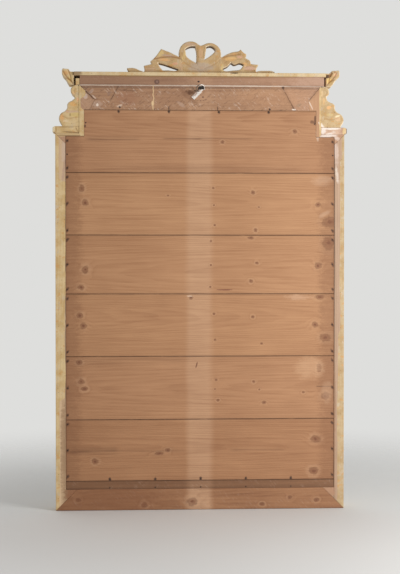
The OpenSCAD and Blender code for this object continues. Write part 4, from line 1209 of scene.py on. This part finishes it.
def glassSurface(name, look):
    # Old silvering. With g the distance to the nearest edge in sight, foxing is where noise is over a level
    # that climbs with g; a few soft spots lie further in.
    s = Surface(name)
    point, x, _, z = s.place()
    (wide, narrow), (foot, shoulder, head) = look["half"], look["levels"]
    gap = (wide - abs(x)).least(z - foot).least(head - z).least((narrow - abs(x)).most(shoulder - z))
    ragged = s.noise(point, 24, detail=6, rough=0.7, shift=16)
    edge = (ragged - gap.rise(0, 60) * 0.35).rise(0.45, 0.62)
    spots = s.speckle(point, 17, 2.4, 0.5, shift=15) * gap.rise(110, 20)
    haze = s.noise(point, 90, detail=6, rough=0.6, shift=17).rise(0.64, 0.74) * 0.25
    bad = (edge * 0.7).most(spots * 0.6).most(haze)
    colour = s.mix(bad, look["silver"], look["foxing"])
    return s.finish(Base_Color=colour, Metallic=1 - bad * 0.7, Roughness=0.03 + bad * 0.3)


def dress(node, material):
    # a CAD node that stays gets its material
    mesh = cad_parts[node].data
    mesh.materials.clear()
    mesh.materials.append(material)


dress("mirror_glass", glassSurface("old_mirror", glassLook))
cleanLook = {**pineLook, "seed": 40, "pale": tone(206, 172, 128), "dark": tone(176, 134, 90)}
s, _, colour, relief = pineSurface("clean_pine", cleanLook)
clean = finishPine(s, colour, relief)
for node in ("glass_blocks", "crest_pegs"):
    dress(node, clean)
print("metal and glass made")


# Light, floor and background

def makeLamp(name, place, aim, size, power):
    data = bpy.data.lights.new(name, "AREA")
    data.size, data.energy = size, power
    lamp = bpy.data.objects.new(name, data)
    lamp.location = place
    lamp.rotation_euler = (Vector(aim) - Vector(place)).to_track_quat("-Z", "Y").to_euler()
    lamp.visible_camera = False
    bpy.context.scene.collection.objects.link(lamp)


def makeWorld(light, backdrop):
    # the backdrop is what the camera, mirrors and glass see; everything else gets the plain light
    world = bpy.data.worlds.new("world")
    world.use_nodes = True
    nodes, links = world.node_tree.nodes, world.node_tree.links
    nodes.clear()
    path = nodes.new("ShaderNodeLightPath")
    seen = [path.outputs[name] for name in ("Is Camera Ray", "Is Glossy Ray", "Is Transmission Ray")]
    for k in (1, 2):
        most = nodes.new("ShaderNodeMath")
        most.operation = "MAXIMUM"
        links.new(seen[0], most.inputs[0])
        links.new(seen[k], most.inputs[1])
        seen[0] = most.outputs[0]
    shades = [nodes.new("ShaderNodeBackground") for _ in range(2)]
    shades[0].inputs["Color"].default_value = (1, 1, 1, 1)
    shades[0].inputs["Strength"].default_value = light
    shades[1].inputs["Color"].default_value = backdrop
    mixed, out = nodes.new("ShaderNodeMixShader"), nodes.new("ShaderNodeOutputWorld")
    links.new(seen[0], mixed.inputs[0])
    links.new(shades[0].outputs[0], mixed.inputs[1])
    links.new(shades[1].outputs[0], mixed.inputs[2])
    links.new(mixed.outputs[0], out.inputs["Surface"])
    bpy.context.scene.world = world


light = {
    "world": 0.48,
    "backdrop": tone(222, 222, 220),
    "floor": tone(218, 217, 214),
    "fade": (350, 1900),
    "lamps": (
        ("key", (-1.45, 1.25, 0.75), (0, 0, 0.65), 0.9, 31.8),
        ("front", (1.4, -2.9, 2.5), (0, 0, 0.6), 4.7, 22),
    ),
}
makeWorld(light["world"], light["backdrop"])
for lamp in light["lamps"]:
    makeLamp(*lamp)


def floorSurface(look):
    # Pale plaster near the object; further out it fades into the backdrop, as a share of the distance
    s = Surface("floor")
    point, x, y, _ = s.place()
    cloud = s.noise(point, 500)
    darker = tuple(0.95 * share for share in look["floor"][:3]) + (1,)
    material = s.finish(Base_Color=s.mix(cloud, look["floor"], darker), Roughness=0.9)
    away = rootSum(x, y).rise(*look["fade"])
    clear = s.node("ShaderNodeBsdfTransparent", {}, {})
    faded = s.node("ShaderNodeMixShader", {}, {0: away, 1: Value(s, s.shader.outputs[0]), 2: clear})
    s.tree.links.new(faded.socket, s.tree.nodes["Material Output"].inputs["Surface"])
    return material


def makeFloor(look):
    reach = look["fade"][1] * mm * 1.1
    mesh = bpy.data.meshes.new("floor")
    corners = [(-reach, -reach), (reach, -reach), (reach, reach), (-reach, reach)]
    mesh.from_pydata([(x, y, -0.0005) for x, y in corners], [], [(0, 1, 2, 3)])
    mesh.materials.append(floorSurface(look))
    floor = bpy.data.objects.new("floor", mesh)
    bpy.context.scene.collection.objects.link(floor)


makeFloor(light)
scene = bpy.context.scene
scene.view_settings.view_transform = "Standard"
